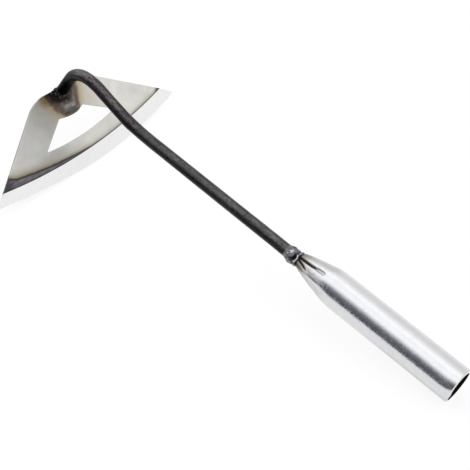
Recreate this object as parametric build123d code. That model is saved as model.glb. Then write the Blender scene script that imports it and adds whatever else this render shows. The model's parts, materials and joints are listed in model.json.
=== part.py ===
from build123d import *
import os
from math import sin, cos, tan, atan2, radians, degrees, sqrt, pi

# Hollow hoe (draw hoe with a triangular window), welded from sheet, round bar and tube.
# Two frames are used. The "tool frame" has its origin on the tube's axis, just inside the mouth, +X
# out of the mouth along the handle, the blade at -X and +Z up. The finished tool is then tipped about Y so
# that the tube's rim and the crown of the cutting edge both touch the floor, Z = 0, and moved so
# that the origin is the middle of its footprint. Y = 0 is the tool's plane of symmetry.

# ---------------------------------------------------------------- driving dimensions (mm, degrees)
# socket handle
tube_od = 22.0            # outside diameter of the tube
tube_wall = 2.0
mouth_x = 0.45            # where the tube ends
shoulder_x = -84.0        # the straight tube ends here and the swaged nose begins
shoulder_len = 9.0        # length over which the wall turns in
nose_angle = 12.6         # half angle of the swaged nose
nose_end_x = -112.0
rim_round = 0.9
pleat_count = 8
pleat_first = -17.0       # angle of the first pleat from +Z, towards +Y
pleat_r = 1.5

# neck rod
rod_d = 7.8
rod_inner_x = -101.0      # its handle end, inside the nose
bend1_x = -230.2          # the first, gentle bend starts here
bend1_r = 131.0
bend1_a = 22.75           # the rod climbs by this angle
bend2_r = 22.85           # the gooseneck
bend2_a = 84.55
bend3_r = 7.0             # last bend, into the blade's channel
rod_tip_p = 45.6          # where the rod ends, measured down the blade

# blade: p runs down the blade from where its plane meets the handle axis, q across, n out of its front
blade_x = -344.1
blade_angle = 45.0        # between the blade and the handle axis
blade_t = 2.5
blade_top_p = 27.6
edge_k = 1.282            # outer edges: q = edge_k * p + edge_c
edge_c = -15.1
crown_p = 83.9            # middle of the cutting edge
crown_r = 312.0
tip_round = 0.5
shoulder_left_r = 26.0    # the shoulders were rounded by hand and differ
shoulder_right_r = 19.0
win_top_p, win_top_q = 46.0, 10.5
win_rim_p = 47.7          # the window's upper side bows down over the ridge
win_low_p, win_low_q = 60.4, 30.4
win_sill_p = 63.2         # middle of the window's lower side
win_corner_r = 1.0
grind_p = 73.45           # top of the ground bevel, in the middle
grind_r = 355.0
grind_q = -3.4            # the grinding is a little out of true, wider towards the right tip
edge_land = 0.45          # thickness left at the cutting edge
channel_n = -2.95         # the rod's end lies behind the ridge, its axis this far behind the front face
ridge_top_w, ridge_top_h = 13.0, 5.2      # half width and height of the ridge at the top edge
ridge_rim_w, ridge_rim_h = 7.3, 3.5       # and at the window's rim
notch_p = 31.5

# weld beads
collar_len = 9.6
collar_r = 5.3

# ---------------------------------------------------------------- helpers
rod_r = rod_d / 2
tube_ro = tube_od / 2
tube_ri = tube_ro - tube_wall
th = radians(blade_angle)
blade_plane = Plane(origin=(blade_x, 0, 0), x_dir=(cos(th), 0, -sin(th)), z_dir=(sin(th), 0, cos(th)))


def P(p, q, n):
    """A point given in blade coordinates, in the tool frame."""
    return Vector(blade_x + p * cos(th) + n * sin(th), q, -p * sin(th) + n * cos(th))


def prism(face, n0, n1):
    """Extrude a sketch drawn in (p, q) from n0 to n1 along the blade's normal."""
    s = extrude(face, amount=n1 - n0, dir=(0, 0, 1))
    return blade_plane * (Pos(0, 0, n0) * s)


# ---------------------------------------------------------------- rod: straight runs and tangent arcs
def rod_path():
    segs = []
    x, z, a = rod_inner_x, 0.0, 0.0          # heading (-cos a, sin a)

    def line(length):
        nonlocal x, z
        x1, z1 = x - length * cos(a), z + length * sin(a)
        segs.append(Line((x, 0, z), (x1, 0, z1)))
        x, z = x1, z1

    def arc(r, turn):
        nonlocal x, z, a
        sg = 1 if turn > 0 else -1
        cx, cz = x + sg * r * sin(a), z + sg * r * cos(a)

        def at(b):
            return (cx - sg * r * sin(b), 0, cz - sg * r * cos(b))
        b1 = a + turn
        segs.append(ThreePointArc((x, 0, z), at(a + turn / 2), at(b1)))
        x, _, z = at(b1)
        a = b1

    line(rod_inner_x - bend1_x)
    arc(bend1_r, radians(bend1_a))
    arc(bend2_r, -radians(bend2_a))
    # the straight drop ends where the last bend will bring the axis onto the channel's axis
    turn3 = radians(180 - blade_angle) + a
    n_dir = -(cos(a) * sin(th)) + sin(a) * cos(th)      # how fast n changes along the heading
    n_now = (x - blade_x) * sin(th) + z * cos(th)
    setback = bend3_r * tan(turn3 / 2)
    run = (channel_n - n_now) / n_dir - setback
    line(run)
    arc(bend3_r, -turn3)
    p_now = (x - blade_x) * cos(th) - z * sin(th)
    line(rod_tip_p - p_now)
    return Wire(segs), run


path, drop = rod_path()
start = path @ 0
neck_rod = Solid(sweep(Plane(origin=start, z_dir=(-1, 0, 0)) * Circle(rod_r), path=path).solids()[0].wrapped)
print("rod: straight drop", round(drop, 2), "length", round(path.length, 1),
      "volume / (section x length)", round(neck_rod.volume / (pi * rod_r ** 2 * path.length), 4))

# ---------------------------------------------------------------- blade
crown_c = crown_p - crown_r                     # centre of the cutting edge's arc
# where an outer edge meets the cutting edge's arc
A = 1 + edge_k ** 2
B = -2 * crown_c + 2 * edge_k * edge_c
C = crown_c ** 2 + edge_c ** 2 - crown_r ** 2
tip_p = (-B + sqrt(B * B - 4 * A * C)) / (2 * A)
tip_q = edge_k * tip_p + edge_c
top_q = edge_k * blade_top_p + edge_c

outline = Wire([
    Line((blade_top_p, -top_q), (tip_p, -tip_q)),
    ThreePointArc((tip_p, -tip_q), (crown_p, 0), (tip_p, tip_q)),
    Line((tip_p, tip_q), (blade_top_p, top_q)),
    Line((blade_top_p, top_q), (blade_top_p, -top_q)),
])
sheet_face = Face(outline)
sheet_face = sheet_face.fillet_2d(shoulder_left_r, [v for v in sheet_face.vertices() if v.X < blade_top_p + 1 and v.Y < -top_q + 1])
sheet_face = sheet_face.fillet_2d(shoulder_right_r, [v for v in sheet_face.vertices() if v.X < blade_top_p + 1 and v.Y > top_q - 1])
sheet_face = sheet_face.fillet_2d(tip_round, [v for v in sheet_face.vertices() if abs(v.Y) > tip_q - 1])
window_face = Face(Wire([
    ThreePointArc((win_top_p, -win_top_q), (win_rim_p, 0), (win_top_p, win_top_q)),
    Line((win_top_p, win_top_q), (win_low_p, win_low_q)),
    ThreePointArc((win_low_p, win_low_q), (win_sill_p, 0), (win_low_p, -win_low_q)),
    Line((win_low_p, -win_low_q), (win_top_p, -win_top_q)),
]))
window_face = window_face.fillet_2d(win_corner_r, window_face.vertices())

# the ridge: the sheet's neck pressed forward in a shallow half cone, wide at the top edge and narrow
# at the window, so its back is a hollow of the same shape that the rod's end lies in
def ridge_section(p, drop):
    """A circular segment across the blade at p; its ends run a little below the face it stands on."""
    f = (p - blade_top_p) / (win_rim_p - blade_top_p)
    w = ridge_top_w + (ridge_rim_w - ridge_top_w) * f
    h = ridge_top_h + (ridge_rim_h - ridge_top_h) * f
    return blade_plane * (Pos(p, 0, -drop) * Rot(0, 90, 0) * Rot(0, 0, 90) * Face(Wire([
        ThreePointArc((-w, 0), (0, h), (w, 0)),
        Line((w, 0), (-w, 0)),
    ])))


ridge = loft([ridge_section(blade_top_p - 3, 0), ridge_section(win_rim_p + 3, 0)], ruled=True)
hollow = loft([ridge_section(blade_top_p - 3, blade_t), ridge_section(win_rim_p + 3, blade_t)], ruled=True)
print("ridge centre", tuple(round(c, 2) for c in blade_plane.to_local_coords(ridge.center())), "volume", round(ridge.volume, 1))

sheet = prism(sheet_face, -blade_t, 0)
blade = sheet + (ridge & prism(sheet_face, -20, 20))
blade = blade - prism(window_face, -20, 20)
blade = blade - hollow
# the notch that lets the rod through from the front
blade = blade - neck_rod
notch = blade_plane * (Pos(24, 0, 0) * Box(2 * (notch_p - 24), rod_d, 24))
blade = blade - notch
# bevel ground on the front face down to a thin land along the cutting edge
g0 = grind_p - grind_r
depth = blade_t - edge_land
reach = crown_p - grind_p
bevel_profile = Face(Wire.make_polygon([
    (grind_r, 0), (grind_r + reach * 1.6, -depth * 1.6), (grind_r + reach * 1.6, 3), (grind_r, 3)], close=True))
cutter = revolve(Plane.XZ * bevel_profile, axis=Axis.Z, revolution_arc=360)
blade = blade - (blade_plane * (Pos(g0, grind_q, 0) * cutter))
blade_plate = blade.solids().sort_by(SortBy.VOLUME)[-1]
print("blade solids", len(blade.solids()), "volume", round(blade_plate.volume, 1))

# ---------------------------------------------------------------- socket handle
na = radians(nose_angle)
arc_r = shoulder_len / sin(na)
sh_x, sh_r = shoulder_x - shoulder_len, tube_ro - arc_r * (1 - cos(na))
nose_r = sh_r - (sh_x - nose_end_x) * tan(na)
in_x = nose_end_x + 6.0                        # the nose grips the rod over this last stretch
outer = Wire([
    Line((shoulder_x, tube_ro), (mouth_x - rim_round, tube_ro)),
    ThreePointArc((mouth_x - rim_round, tube_ro),
                  (mouth_x - rim_round * (1 - sin(pi / 4)), tube_ro - rim_round * (1 - cos(pi / 4))),
                  (mouth_x, tube_ro - rim_round)),
    Line((mouth_x, tube_ro - rim_round), (mouth_x, tube_ri)),
    Line((mouth_x, tube_ri), (shoulder_x, tube_ri)),
    Line((shoulder_x, tube_ri), (in_x, rod_r)),
    Line((in_x, rod_r), (nose_end_x, rod_r)),
    Line((nose_end_x, rod_r), (nose_end_x, nose_r - 0.5)),
    Line((nose_end_x, nose_r - 0.5), (nose_end_x + 0.5, nose_r + 0.5 * tan(na))),
    Line((nose_end_x + 0.5, nose_r + 0.5 * tan(na)), (sh_x, sh_r)),
    ThreePointArc((sh_x, sh_r), (shoulder_x - arc_r * sin(na / 2), tube_ro - arc_r * (1 - cos(na / 2))),
                  (shoulder_x, tube_ro)),
])
tube = revolve(Plane.XZ * Face(outer), axis=Axis.X, revolution_arc=360)
# pleats that the swaging leaves in the nose: shallow grooves along the cone
for i in range(pleat_count):
    a = radians(pleat_first + i * 360 / pleat_count)
    x0, r0 = sh_x + 2.0, sh_r + 1.3
    x1, r1 = nose_end_x - 1.5, nose_r + 0.15
    p0 = Vector(x0, r0 * sin(a), r0 * cos(a))
    p1 = Vector(x1, r1 * sin(a), r1 * cos(a))
    axis = p1 - p0
    tube = tube - (Plane(origin=p0, z_dir=axis) * Pos(0, 0, axis.length / 2) * Cylinder(pleat_r, axis.length))
socket_handle = tube.solids().sort_by(SortBy.VOLUME)[-1]
print("tube solids", len(tube.solids()), "nose radius", round(nose_r, 2))

# ---------------------------------------------------------------- weld beads
x0, x1 = nose_end_x, nose_end_x - collar_len
ring = Face(Wire([
    Line((x0, rod_r), (x0, nose_r - 0.5)),
    ThreePointArc((x0, nose_r - 0.5), (x0 - collar_len * 0.33, collar_r), (x0 - collar_len * 0.72, collar_r - 0.75)),
    Line((x0 - collar_len * 0.72, collar_r - 0.75), (x1, rod_r)),
    Line((x1, rod_r), (x0, rod_r)),
]))
collar_weld = revolve(Plane.XZ * ring, axis=Axis.X, revolution_arc=360).solids()[0]

# neck weld: a low fillet bead round the rod where it goes through the ridge, with a drop on its left
bead = blade_plane * (Pos(31.6, 0, 3.6) * Torus(4.5, 1.7))
plug = blade_plane * (Pos(31.6, 0, 2.0) * Cylinder(5.4, 4.0))
nib = blade_plane * (Pos(29.4, -6.3, 3.2) * Sphere(1.8))
neck = bead + plug + nib - neck_rod - blade_plate
neck_weld = neck.solids().sort_by(SortBy.VOLUME)[-1]
print("neck weld solids", [round(s.volume, 2) for s in neck.solids()])

# rear welds: a fillet on each side of the rod, in the hollow back of the ridge
rear = []
for sg in (-1, 1):
    run = Plane(origin=P(38.8, sg * (rod_r + 0.6), -1.3), x_dir=(0, 1, 0),
                z_dir=(cos(th), 0, -sin(th))) * (Pos(0, 0, 3.4) * Cylinder(1.9, 6.8))
    w = run - neck_rod - blade_plate
    print("rear weld", sg, [round(s.volume, 2) for s in w.solids()])
    rear.append(w.solids().sort_by(SortBy.VOLUME)[-1])

# ---------------------------------------------------------------- resting pose and origin
low = P(crown_p, 0, -blade_t)
tip_angle = degrees(atan2(-tube_ro - low.Z, mouth_x - rim_round - low.X))
nodes = {
    "blade_plate": blade_plate,
    "neck_rod": neck_rod,
    "socket_handle": socket_handle,
    "collar_weld": collar_weld,
    "neck_weld": neck_weld,
    "rear_weld_left": rear[0],
    "rear_weld_right": rear[1],
}
tip = Rot(0, tip_angle, 0)
rested = {name: tip * s for name, s in nodes.items()}
boxes = [s.bounding_box(optimal=True) for s in rested.values()]
lo = [min(getattr(b.min, c) for b in boxes) for c in "XYZ"]
hi = [max(getattr(b.max, c) for b in boxes) for c in "XYZ"]
shift = Pos(-(lo[0] + hi[0]) / 2, 0, -lo[2])
placed = {name: shift * s for name, s in rested.items()}

os.makedirs("parts", exist_ok=True)
for name, s in placed.items():
    s.label = name
    export_step(s, f"parts/{name}.step")

# facts for the record
T = shift * tip


def row(v):
    return tuple(round(c, 3) for c in (T * Pos(v.X, v.Y, v.Z)).position)


print("tip angle", round(tip_angle, 4), "size", [round(h - l, 2) for l, h in zip(lo, hi)])
print("shift", [round(c, 4) for c in shift.position])
print("mouth", row(Vector(mouth_x, 0, 0)), "tool origin", row(Vector(0, 0, 0)), "axis", (round(cos(radians(tip_angle)), 6), 0, round(-sin(radians(tip_angle)), 6)))
print("blade origin", row(Vector(blade_x, 0, 0)), "sill", row(P(win_sill_p, 0, 0)), "rim", row(P(win_rim_p, 0, -blade_t)))
print("tip p,q", round(tip_p, 2), round(tip_q, 2))
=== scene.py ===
import bpy
import json
from math import sin, cos, tan, asin, atan2, radians, degrees, sqrt, pi, hypot, exp, floor
from mathutils import Vector, Matrix, noise
from mathutils.geometry import delaunay_2d_cdt

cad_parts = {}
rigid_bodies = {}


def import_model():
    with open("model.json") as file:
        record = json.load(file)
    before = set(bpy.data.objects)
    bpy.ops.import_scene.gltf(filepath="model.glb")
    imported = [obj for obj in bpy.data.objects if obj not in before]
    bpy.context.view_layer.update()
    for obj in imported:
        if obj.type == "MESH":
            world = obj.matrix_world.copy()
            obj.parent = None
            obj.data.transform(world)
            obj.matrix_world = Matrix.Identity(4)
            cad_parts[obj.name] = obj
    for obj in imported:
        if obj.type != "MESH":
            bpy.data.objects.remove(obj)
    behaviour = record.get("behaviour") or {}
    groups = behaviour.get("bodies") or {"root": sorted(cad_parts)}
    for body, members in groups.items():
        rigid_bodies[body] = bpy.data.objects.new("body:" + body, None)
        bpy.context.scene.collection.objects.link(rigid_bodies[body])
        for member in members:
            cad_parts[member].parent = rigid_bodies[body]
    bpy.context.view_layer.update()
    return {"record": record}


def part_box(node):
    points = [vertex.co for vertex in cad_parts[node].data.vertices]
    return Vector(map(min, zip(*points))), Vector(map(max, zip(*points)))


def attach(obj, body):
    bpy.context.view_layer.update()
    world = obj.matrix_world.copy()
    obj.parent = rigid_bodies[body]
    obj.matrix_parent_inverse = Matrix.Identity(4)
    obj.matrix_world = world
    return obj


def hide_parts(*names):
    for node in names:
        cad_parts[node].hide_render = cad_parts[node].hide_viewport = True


for o in list(bpy.data.objects):
    bpy.data.objects.remove(o)

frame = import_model()
scene = bpy.context.scene
coll = scene.collection

# ------------------------------------------------------------------------------------------------
# frames. Tool frame: origin on the tube's axis just inside its mouth, +X out of it, +Z up,
# millimetres. Its place in the row frame comes from the record's socket mount.
socket = frame["record"]["mounts"][0]
for m in frame["record"]["mounts"]:
    if m.get("name") == "socket":
        socket = m
EX = Vector(socket["axis"]).normalized()
EY = Vector((0, 1, 0))
EZ = EX.cross(EY)
MOUTH_X = 0.45
ORIGIN = Vector(socket["pos_m"]) - EX * (MOUTH_X * 0.001)


def T(x, y, z):
    """Tool frame, mm, to the row frame, metres."""
    return ORIGIN + (EX * x + EY * y + EZ * z) * 0.001


# blade frame: p down the blade, q across, n out of its front
BLADE_X = -344.1
TH = radians(45.0)
BO = T(BLADE_X, 0, 0)
EP = EX * cos(TH) - EZ * sin(TH)
EN = EX * sin(TH) + EZ * cos(TH)


def B(p, q, n):
    return BO + (EP * p + EY * q + EN * n) * 0.001


def fbm(x, y, z, octaves=3):
    v, a = 0.0, 1.0
    for i in range(octaves):
        v += a * noise.noise(Vector((x, y, z)))
        x, y, z, a = x * 2.03 + 7.1, y * 2.03 + 3.7, z * 2.03 + 1.9, a * 0.5
    return v


def sstep(a, b, x):
    t = min(1.0, max(0.0, (x - a) / (b - a)))
    return t * t * (3 - 2 * t)


def add(name, verts, faces, mats, face_mats=None, smooth=True, flow=None, extra=None):
    me = bpy.data.meshes.new(name)
    me.from_pydata([tuple(v) for v in verts], [], faces)
    for m in mats:
        me.materials.append(m)
    if face_mats is not None:
        me.polygons.foreach_set("material_index", face_mats)
    me.polygons.foreach_set("use_smooth", [smooth] * len(me.polygons))
    if flow is not None:
        at = me.attributes.new("flow", "FLOAT_VECTOR", "POINT")
        at.data.foreach_set("vector", [c for v in flow for c in v])
    for key, vals in (extra or {}).items():
        at = me.attributes.new(key, "FLOAT", "POINT")
        at.data.foreach_set("value", vals)
    me.validate()
    me.update()
    ob = bpy.data.objects.new(name, me)
    coll.objects.link(ob)
    return ob


# ------------------------------------------------------------------------------------------------
# node helper
class Mat:
    def __init__(self, name):
        self.m = bpy.data.materials.new(name)
        self.m.use_nodes = True
        self.nt = self.m.node_tree
        self.nt.nodes.clear()
        self.out = self.node("ShaderNodeOutputMaterial")
        self.bsdf = self.node("ShaderNodeBsdfPrincipled")
        self.link(self.bsdf.outputs[0], self.out.inputs[0])

    def node(self, kind, **props):
        n = self.nt.nodes.new(kind)
        for k, v in props.items():
            setattr(n, k, v)
        return n

    def link(self, a, b):
        self.nt.links.new(a, b)

    def put(self, sock, v):
        if isinstance(v, bpy.types.NodeSocket):
            self.link(v, sock)
        else:
            sock.default_value = v

    def math(self, op, a, b=0.0, c=0.0, clamp=False):
        n = self.node("ShaderNodeMath", operation=op, use_clamp=clamp)
        self.put(n.inputs[0], a)
        self.put(n.inputs[1], b)
        self.put(n.inputs[2], c)
        return n.outputs[0]

    def vmath(self, op, a, b=(0, 0, 0), out=0):
        n = self.node("ShaderNodeVectorMath", operation=op)
        self.put(n.inputs[0], a)
        self.put(n.inputs[1], b)
        return n.outputs[out]

    def step(self, a, b, x):
        """1 above b, 0 below a, smooth between; a may be above b."""
        n = self.node("ShaderNodeMapRange", interpolation_type="SMOOTHSTEP")
        self.put(n.inputs["Value"], x)
        lo, hi, t0, t1 = (a, b, 0.0, 1.0) if a < b else (b, a, 1.0, 0.0)
        n.inputs["From Min"].default_value = lo
        n.inputs["From Max"].default_value = hi
        n.inputs["To Min"].default_value = t0
        n.inputs["To Max"].default_value = t1
        return n.outputs[0]

    def lerp(self, x, a, b, t0, t1):
        n = self.node("ShaderNodeMapRange")
        self.put(n.inputs["Value"], x)
        n.inputs["From Min"].default_value = a
        n.inputs["From Max"].default_value = b
        n.inputs["To Min"].default_value = t0
        n.inputs["To Max"].default_value = t1
        return n.outputs[0]

    def mix(self, f, a, b, mode="MIX"):
        n = self.node("ShaderNodeMix", data_type="RGBA", blend_type=mode)
        self.put(n.inputs[0], f)
        for i, v in ((6, a), (7, b)):
            if not isinstance(v, bpy.types.NodeSocket) and len(v) == 3:
                v = (*v, 1.0)
            self.put(n.inputs[i], v)
        return n.outputs[2]

    def ramp(self, x, stops, interp="LINEAR"):
        n = self.node("ShaderNodeValToRGB")
        n.color_ramp.interpolation = interp
        e = n.color_ramp.elements
        while len(e) > 1:
            e.remove(e[-1])
        e[0].position, e[0].color = stops[0][0], (*stops[0][1], 1.0)
        for pos, col in stops[1:]:
            k = e.new(pos)
            k.color = (*col, 1.0)
        self.put(n.inputs[0], x)
        return n.outputs[0]

    def tex(self, vec, scale, detail=2.0, rough=0.5, dist=0.0, stretch=None):
        if stretch is not None:
            vec = self.vmath("MULTIPLY", vec, stretch)
        n = self.node("ShaderNodeTexNoise", noise_dimensions="3D")
        self.put(n.inputs["Vector"], vec)
        n.inputs["Scale"].default_value = scale
        n.inputs["Detail"].default_value = detail
        n.inputs["Roughness"].default_value = rough
        n.inputs["Distortion"].default_value = dist
        return n.outputs["Fac"]

    def bump(self, height, dist, strength=1.0, normal=None):
        n = self.node("ShaderNodeBump")
        n.inputs["Strength"].default_value = strength
        n.inputs["Distance"].default_value = dist
        self.put(n.inputs["Height"], height)
        if normal is not None:
            self.link(normal, n.inputs["Normal"])
        return n.outputs[0]

    def object_co(self):
        return self.node("ShaderNodeTexCoord").outputs["Object"]

    def attr(self, name="flow"):
        return self.node("ShaderNodeAttribute", attribute_type="GEOMETRY", attribute_name=name).outputs["Vector"]

    def blade_axes(self):
        d = self.vmath("SUBTRACT", self.object_co(), tuple(BO))
        out = []
        for ax in (EP, EY, EN):
            out.append(self.math("MULTIPLY", self.vmath("DOT_PRODUCT", d, tuple(ax), out=1), 1000.0))
        return d, out


def srgb(r, g, b):
    def f(c):
        c = c / 255.0
        return c / 12.92 if c <= 0.04045 else ((c + 0.055) / 1.055) ** 2.4
    return (f(r), f(g), f(b))


# ------------------------------------------------------------------------------------------------
# blade dimensions (mm)
BT = 2.5
TOP_P = 27.6
EDGE_K, EDGE_C = 1.282, -15.1
CROWN_P, CROWN_R = 83.9, 312.0
TIP_R, SHOULDER_L, SHOULDER_R = 0.5, 26.0, 19.0
GRIND_P, GRIND_R, GRIND_Q, LAND = 73.45, 355.0, -3.4, 0.45
RIM_P = 47.7
RW0, RH0, RW1, RH1 = 13.0, 5.2, 7.3, 3.5
NOTCH_P, NOTCH_Q = 31.5, 3.9
SLOPE = (BT - LAND) / (CROWN_P - GRIND_P)


def ridge_w(p):
    return RW0 + (RW1 - RW0) * (p - TOP_P) / (RIM_P - TOP_P)


def seg(p, q):
    """Height of the pressed half cone above the sheet; below zero outside it."""
    f = (p - TOP_P) / (RIM_P - TOP_P)
    w = max(2.0, RW0 + (RW1 - RW0) * f)
    h = max(0.5, RH0 + (RH1 - RH0) * f)
    r = (w * w + h * h) / (2 * h)
    a = abs(q)
    if a <= w:
        return sqrt(r * r - a * a) - (r - h)
    return -(a - w) * w / (r - h)


def smax(a, b, k):
    h = max(k - abs(a - b), 0.0) / k
    return max(a, b) + h * h * k / 4


def raised(p, q):
    if p > RIM_P + 6 or abs(q) > 24:
        return 0.0
    return smax(seg(p, q), 0.0, 1.6)


def grind_wobble(q):
    return 0.16 * fbm(q * 0.045, 3.1, 0.4, 2) + 0.05 * fbm(q * 0.3, 9.1, 0.4, 2)


def warp(p, q):
    """The sheet isn't perfectly flat."""
    return 0.05 * fbm(p * 0.03, q * 0.03, 5.5, 2) - 0.05


def front(p, q):
    g = hypot(p - (GRIND_P - GRIND_R), q - GRIND_Q) - GRIND_R - grind_wobble(q)
    return raised(p, q) - max(0.0, g) * SLOPE + warp(p, q) * sstep(0.4, 3.0, -g)


def back(p, q):
    return -BT + raised(p, q)


def fillet(pts, corners, r_of):
    """Rounds the named corners of a closed polyline whose sides run straight for long enough."""
    out = []
    n = len(pts)
    for i, c in enumerate(pts):
        if i not in corners:
            out.append(c)
            continue
        r = r_of[i]
        a, b = pts[i - 1], pts[(i + 1) % n]
        ua = (Vector(a) - Vector(c)).normalized()
        ub = (Vector(b) - Vector(c)).normalized()
        half = ua.angle(ub) / 2
        t = r / tan(half)
        centre = Vector(c) + (ua + ub).normalized() * (r / sin(half))
        s, e = Vector(c) + ua * t, Vector(c) + ub * t
        a0 = atan2(s.y - centre.y, s.x - centre.x)
        a1 = atan2(e.y - centre.y, e.x - centre.x)
        d = (a1 - a0 + pi) % (2 * pi) - pi
        k = max(6, int(abs(d) * r / 0.5))
        out += [(centre.x + r * cos(a0 + d * j / k), centre.y + r * sin(a0 + d * j / k)) for j in range(k + 1)]
    return out


def arc3(a, m, b, n):
    """n + 1 points from a to b on the circle through m, for a chord square to the p axis."""
    s = m[0] - a[0]
    c = abs(b[1] - a[1]) / 2
    if abs(s) < 1e-9:
        return [(a[0] + (b[0] - a[0]) * i / n, a[1] + (b[1] - a[1]) * i / n) for i in range(n + 1)]
    r = (c * c + s * s) / (2 * s)
    cp = m[0] - r
    t0 = asin(a[1] / abs(r))
    t1 = asin(b[1] / abs(r))
    return [(cp + r * cos(t0 + (t1 - t0) * i / n), abs(r) * sin(t0 + (t1 - t0) * i / n)) for i in range(n + 1)]


def resample(pts, step):
    """Closed polyline with no side longer than step; every given point is kept."""
    out = []
    n = len(pts)
    for i in range(n):
        a, b = Vector(pts[i]), Vector(pts[(i + 1) % n])
        k = max(1, int(round((b - a).length / step)))
        for j in range(k):
            out.append(tuple(a.lerp(b, j / k)))
    return out


def normals(pts):
    """Unit normals, to the right of the direction of travel."""
    out = []
    n = len(pts)
    for i in range(n):
        a = (Vector(pts[i]) - Vector(pts[i - 1])).normalized()
        b = (Vector(pts[(i + 1) % n]) - Vector(pts[i])).normalized()
        t = (a + b)
        t = t.normalized() if t.length > 1e-6 else b
        out.append((t.y, -t.x))
    return out


def inside(pt, poly):
    x, y = pt
    c = False
    j = len(poly) - 1
    for i in range(len(poly)):
        xi, yi = poly[i]
        xj, yj = poly[j]
        if (yi > y) != (yj > y) and x < (xj - xi) * (y - yi) / (yj - yi) + xi:
            c = not c
        j = i
    return c


# outline: where an outer edge meets the cutting edge's arc
_c = CROWN_P - CROWN_R
_A, _B, _C = 1 + EDGE_K ** 2, -2 * _c + 2 * EDGE_K * EDGE_C, _c ** 2 + EDGE_C ** 2 - CROWN_R ** 2
TIP_P = (-_B + sqrt(_B * _B - 4 * _A * _C)) / (2 * _A)
TIP_Q = EDGE_K * TIP_P + EDGE_C
TOP_Q = EDGE_K * TOP_P + EDGE_C


# the edge was ground by eye and stops a little short of its true arc (q, mm)
WORN = [(-79.5, 0.0), (-70.0, 0.25), (-60.0, 0.55), (-50.0, 0.95), (-40.0, 1.0), (-30.0, 1.0), (-20.0, 0.85), (-10.0, 0.45), (0.0, 0.22), (12.0, 0.25),
        (40.0, 0.22), (60.0, 0.22), (72.0, 0.0), (79.5, 0.0)]


def lookup2(table, x):
    for (x0, v0), (x1, v1) in zip(table, table[1:]):
        if x <= x1:
            return v0 + (v1 - v0) * sstep(x0, x1, x)
    return table[-1][1]


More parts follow.
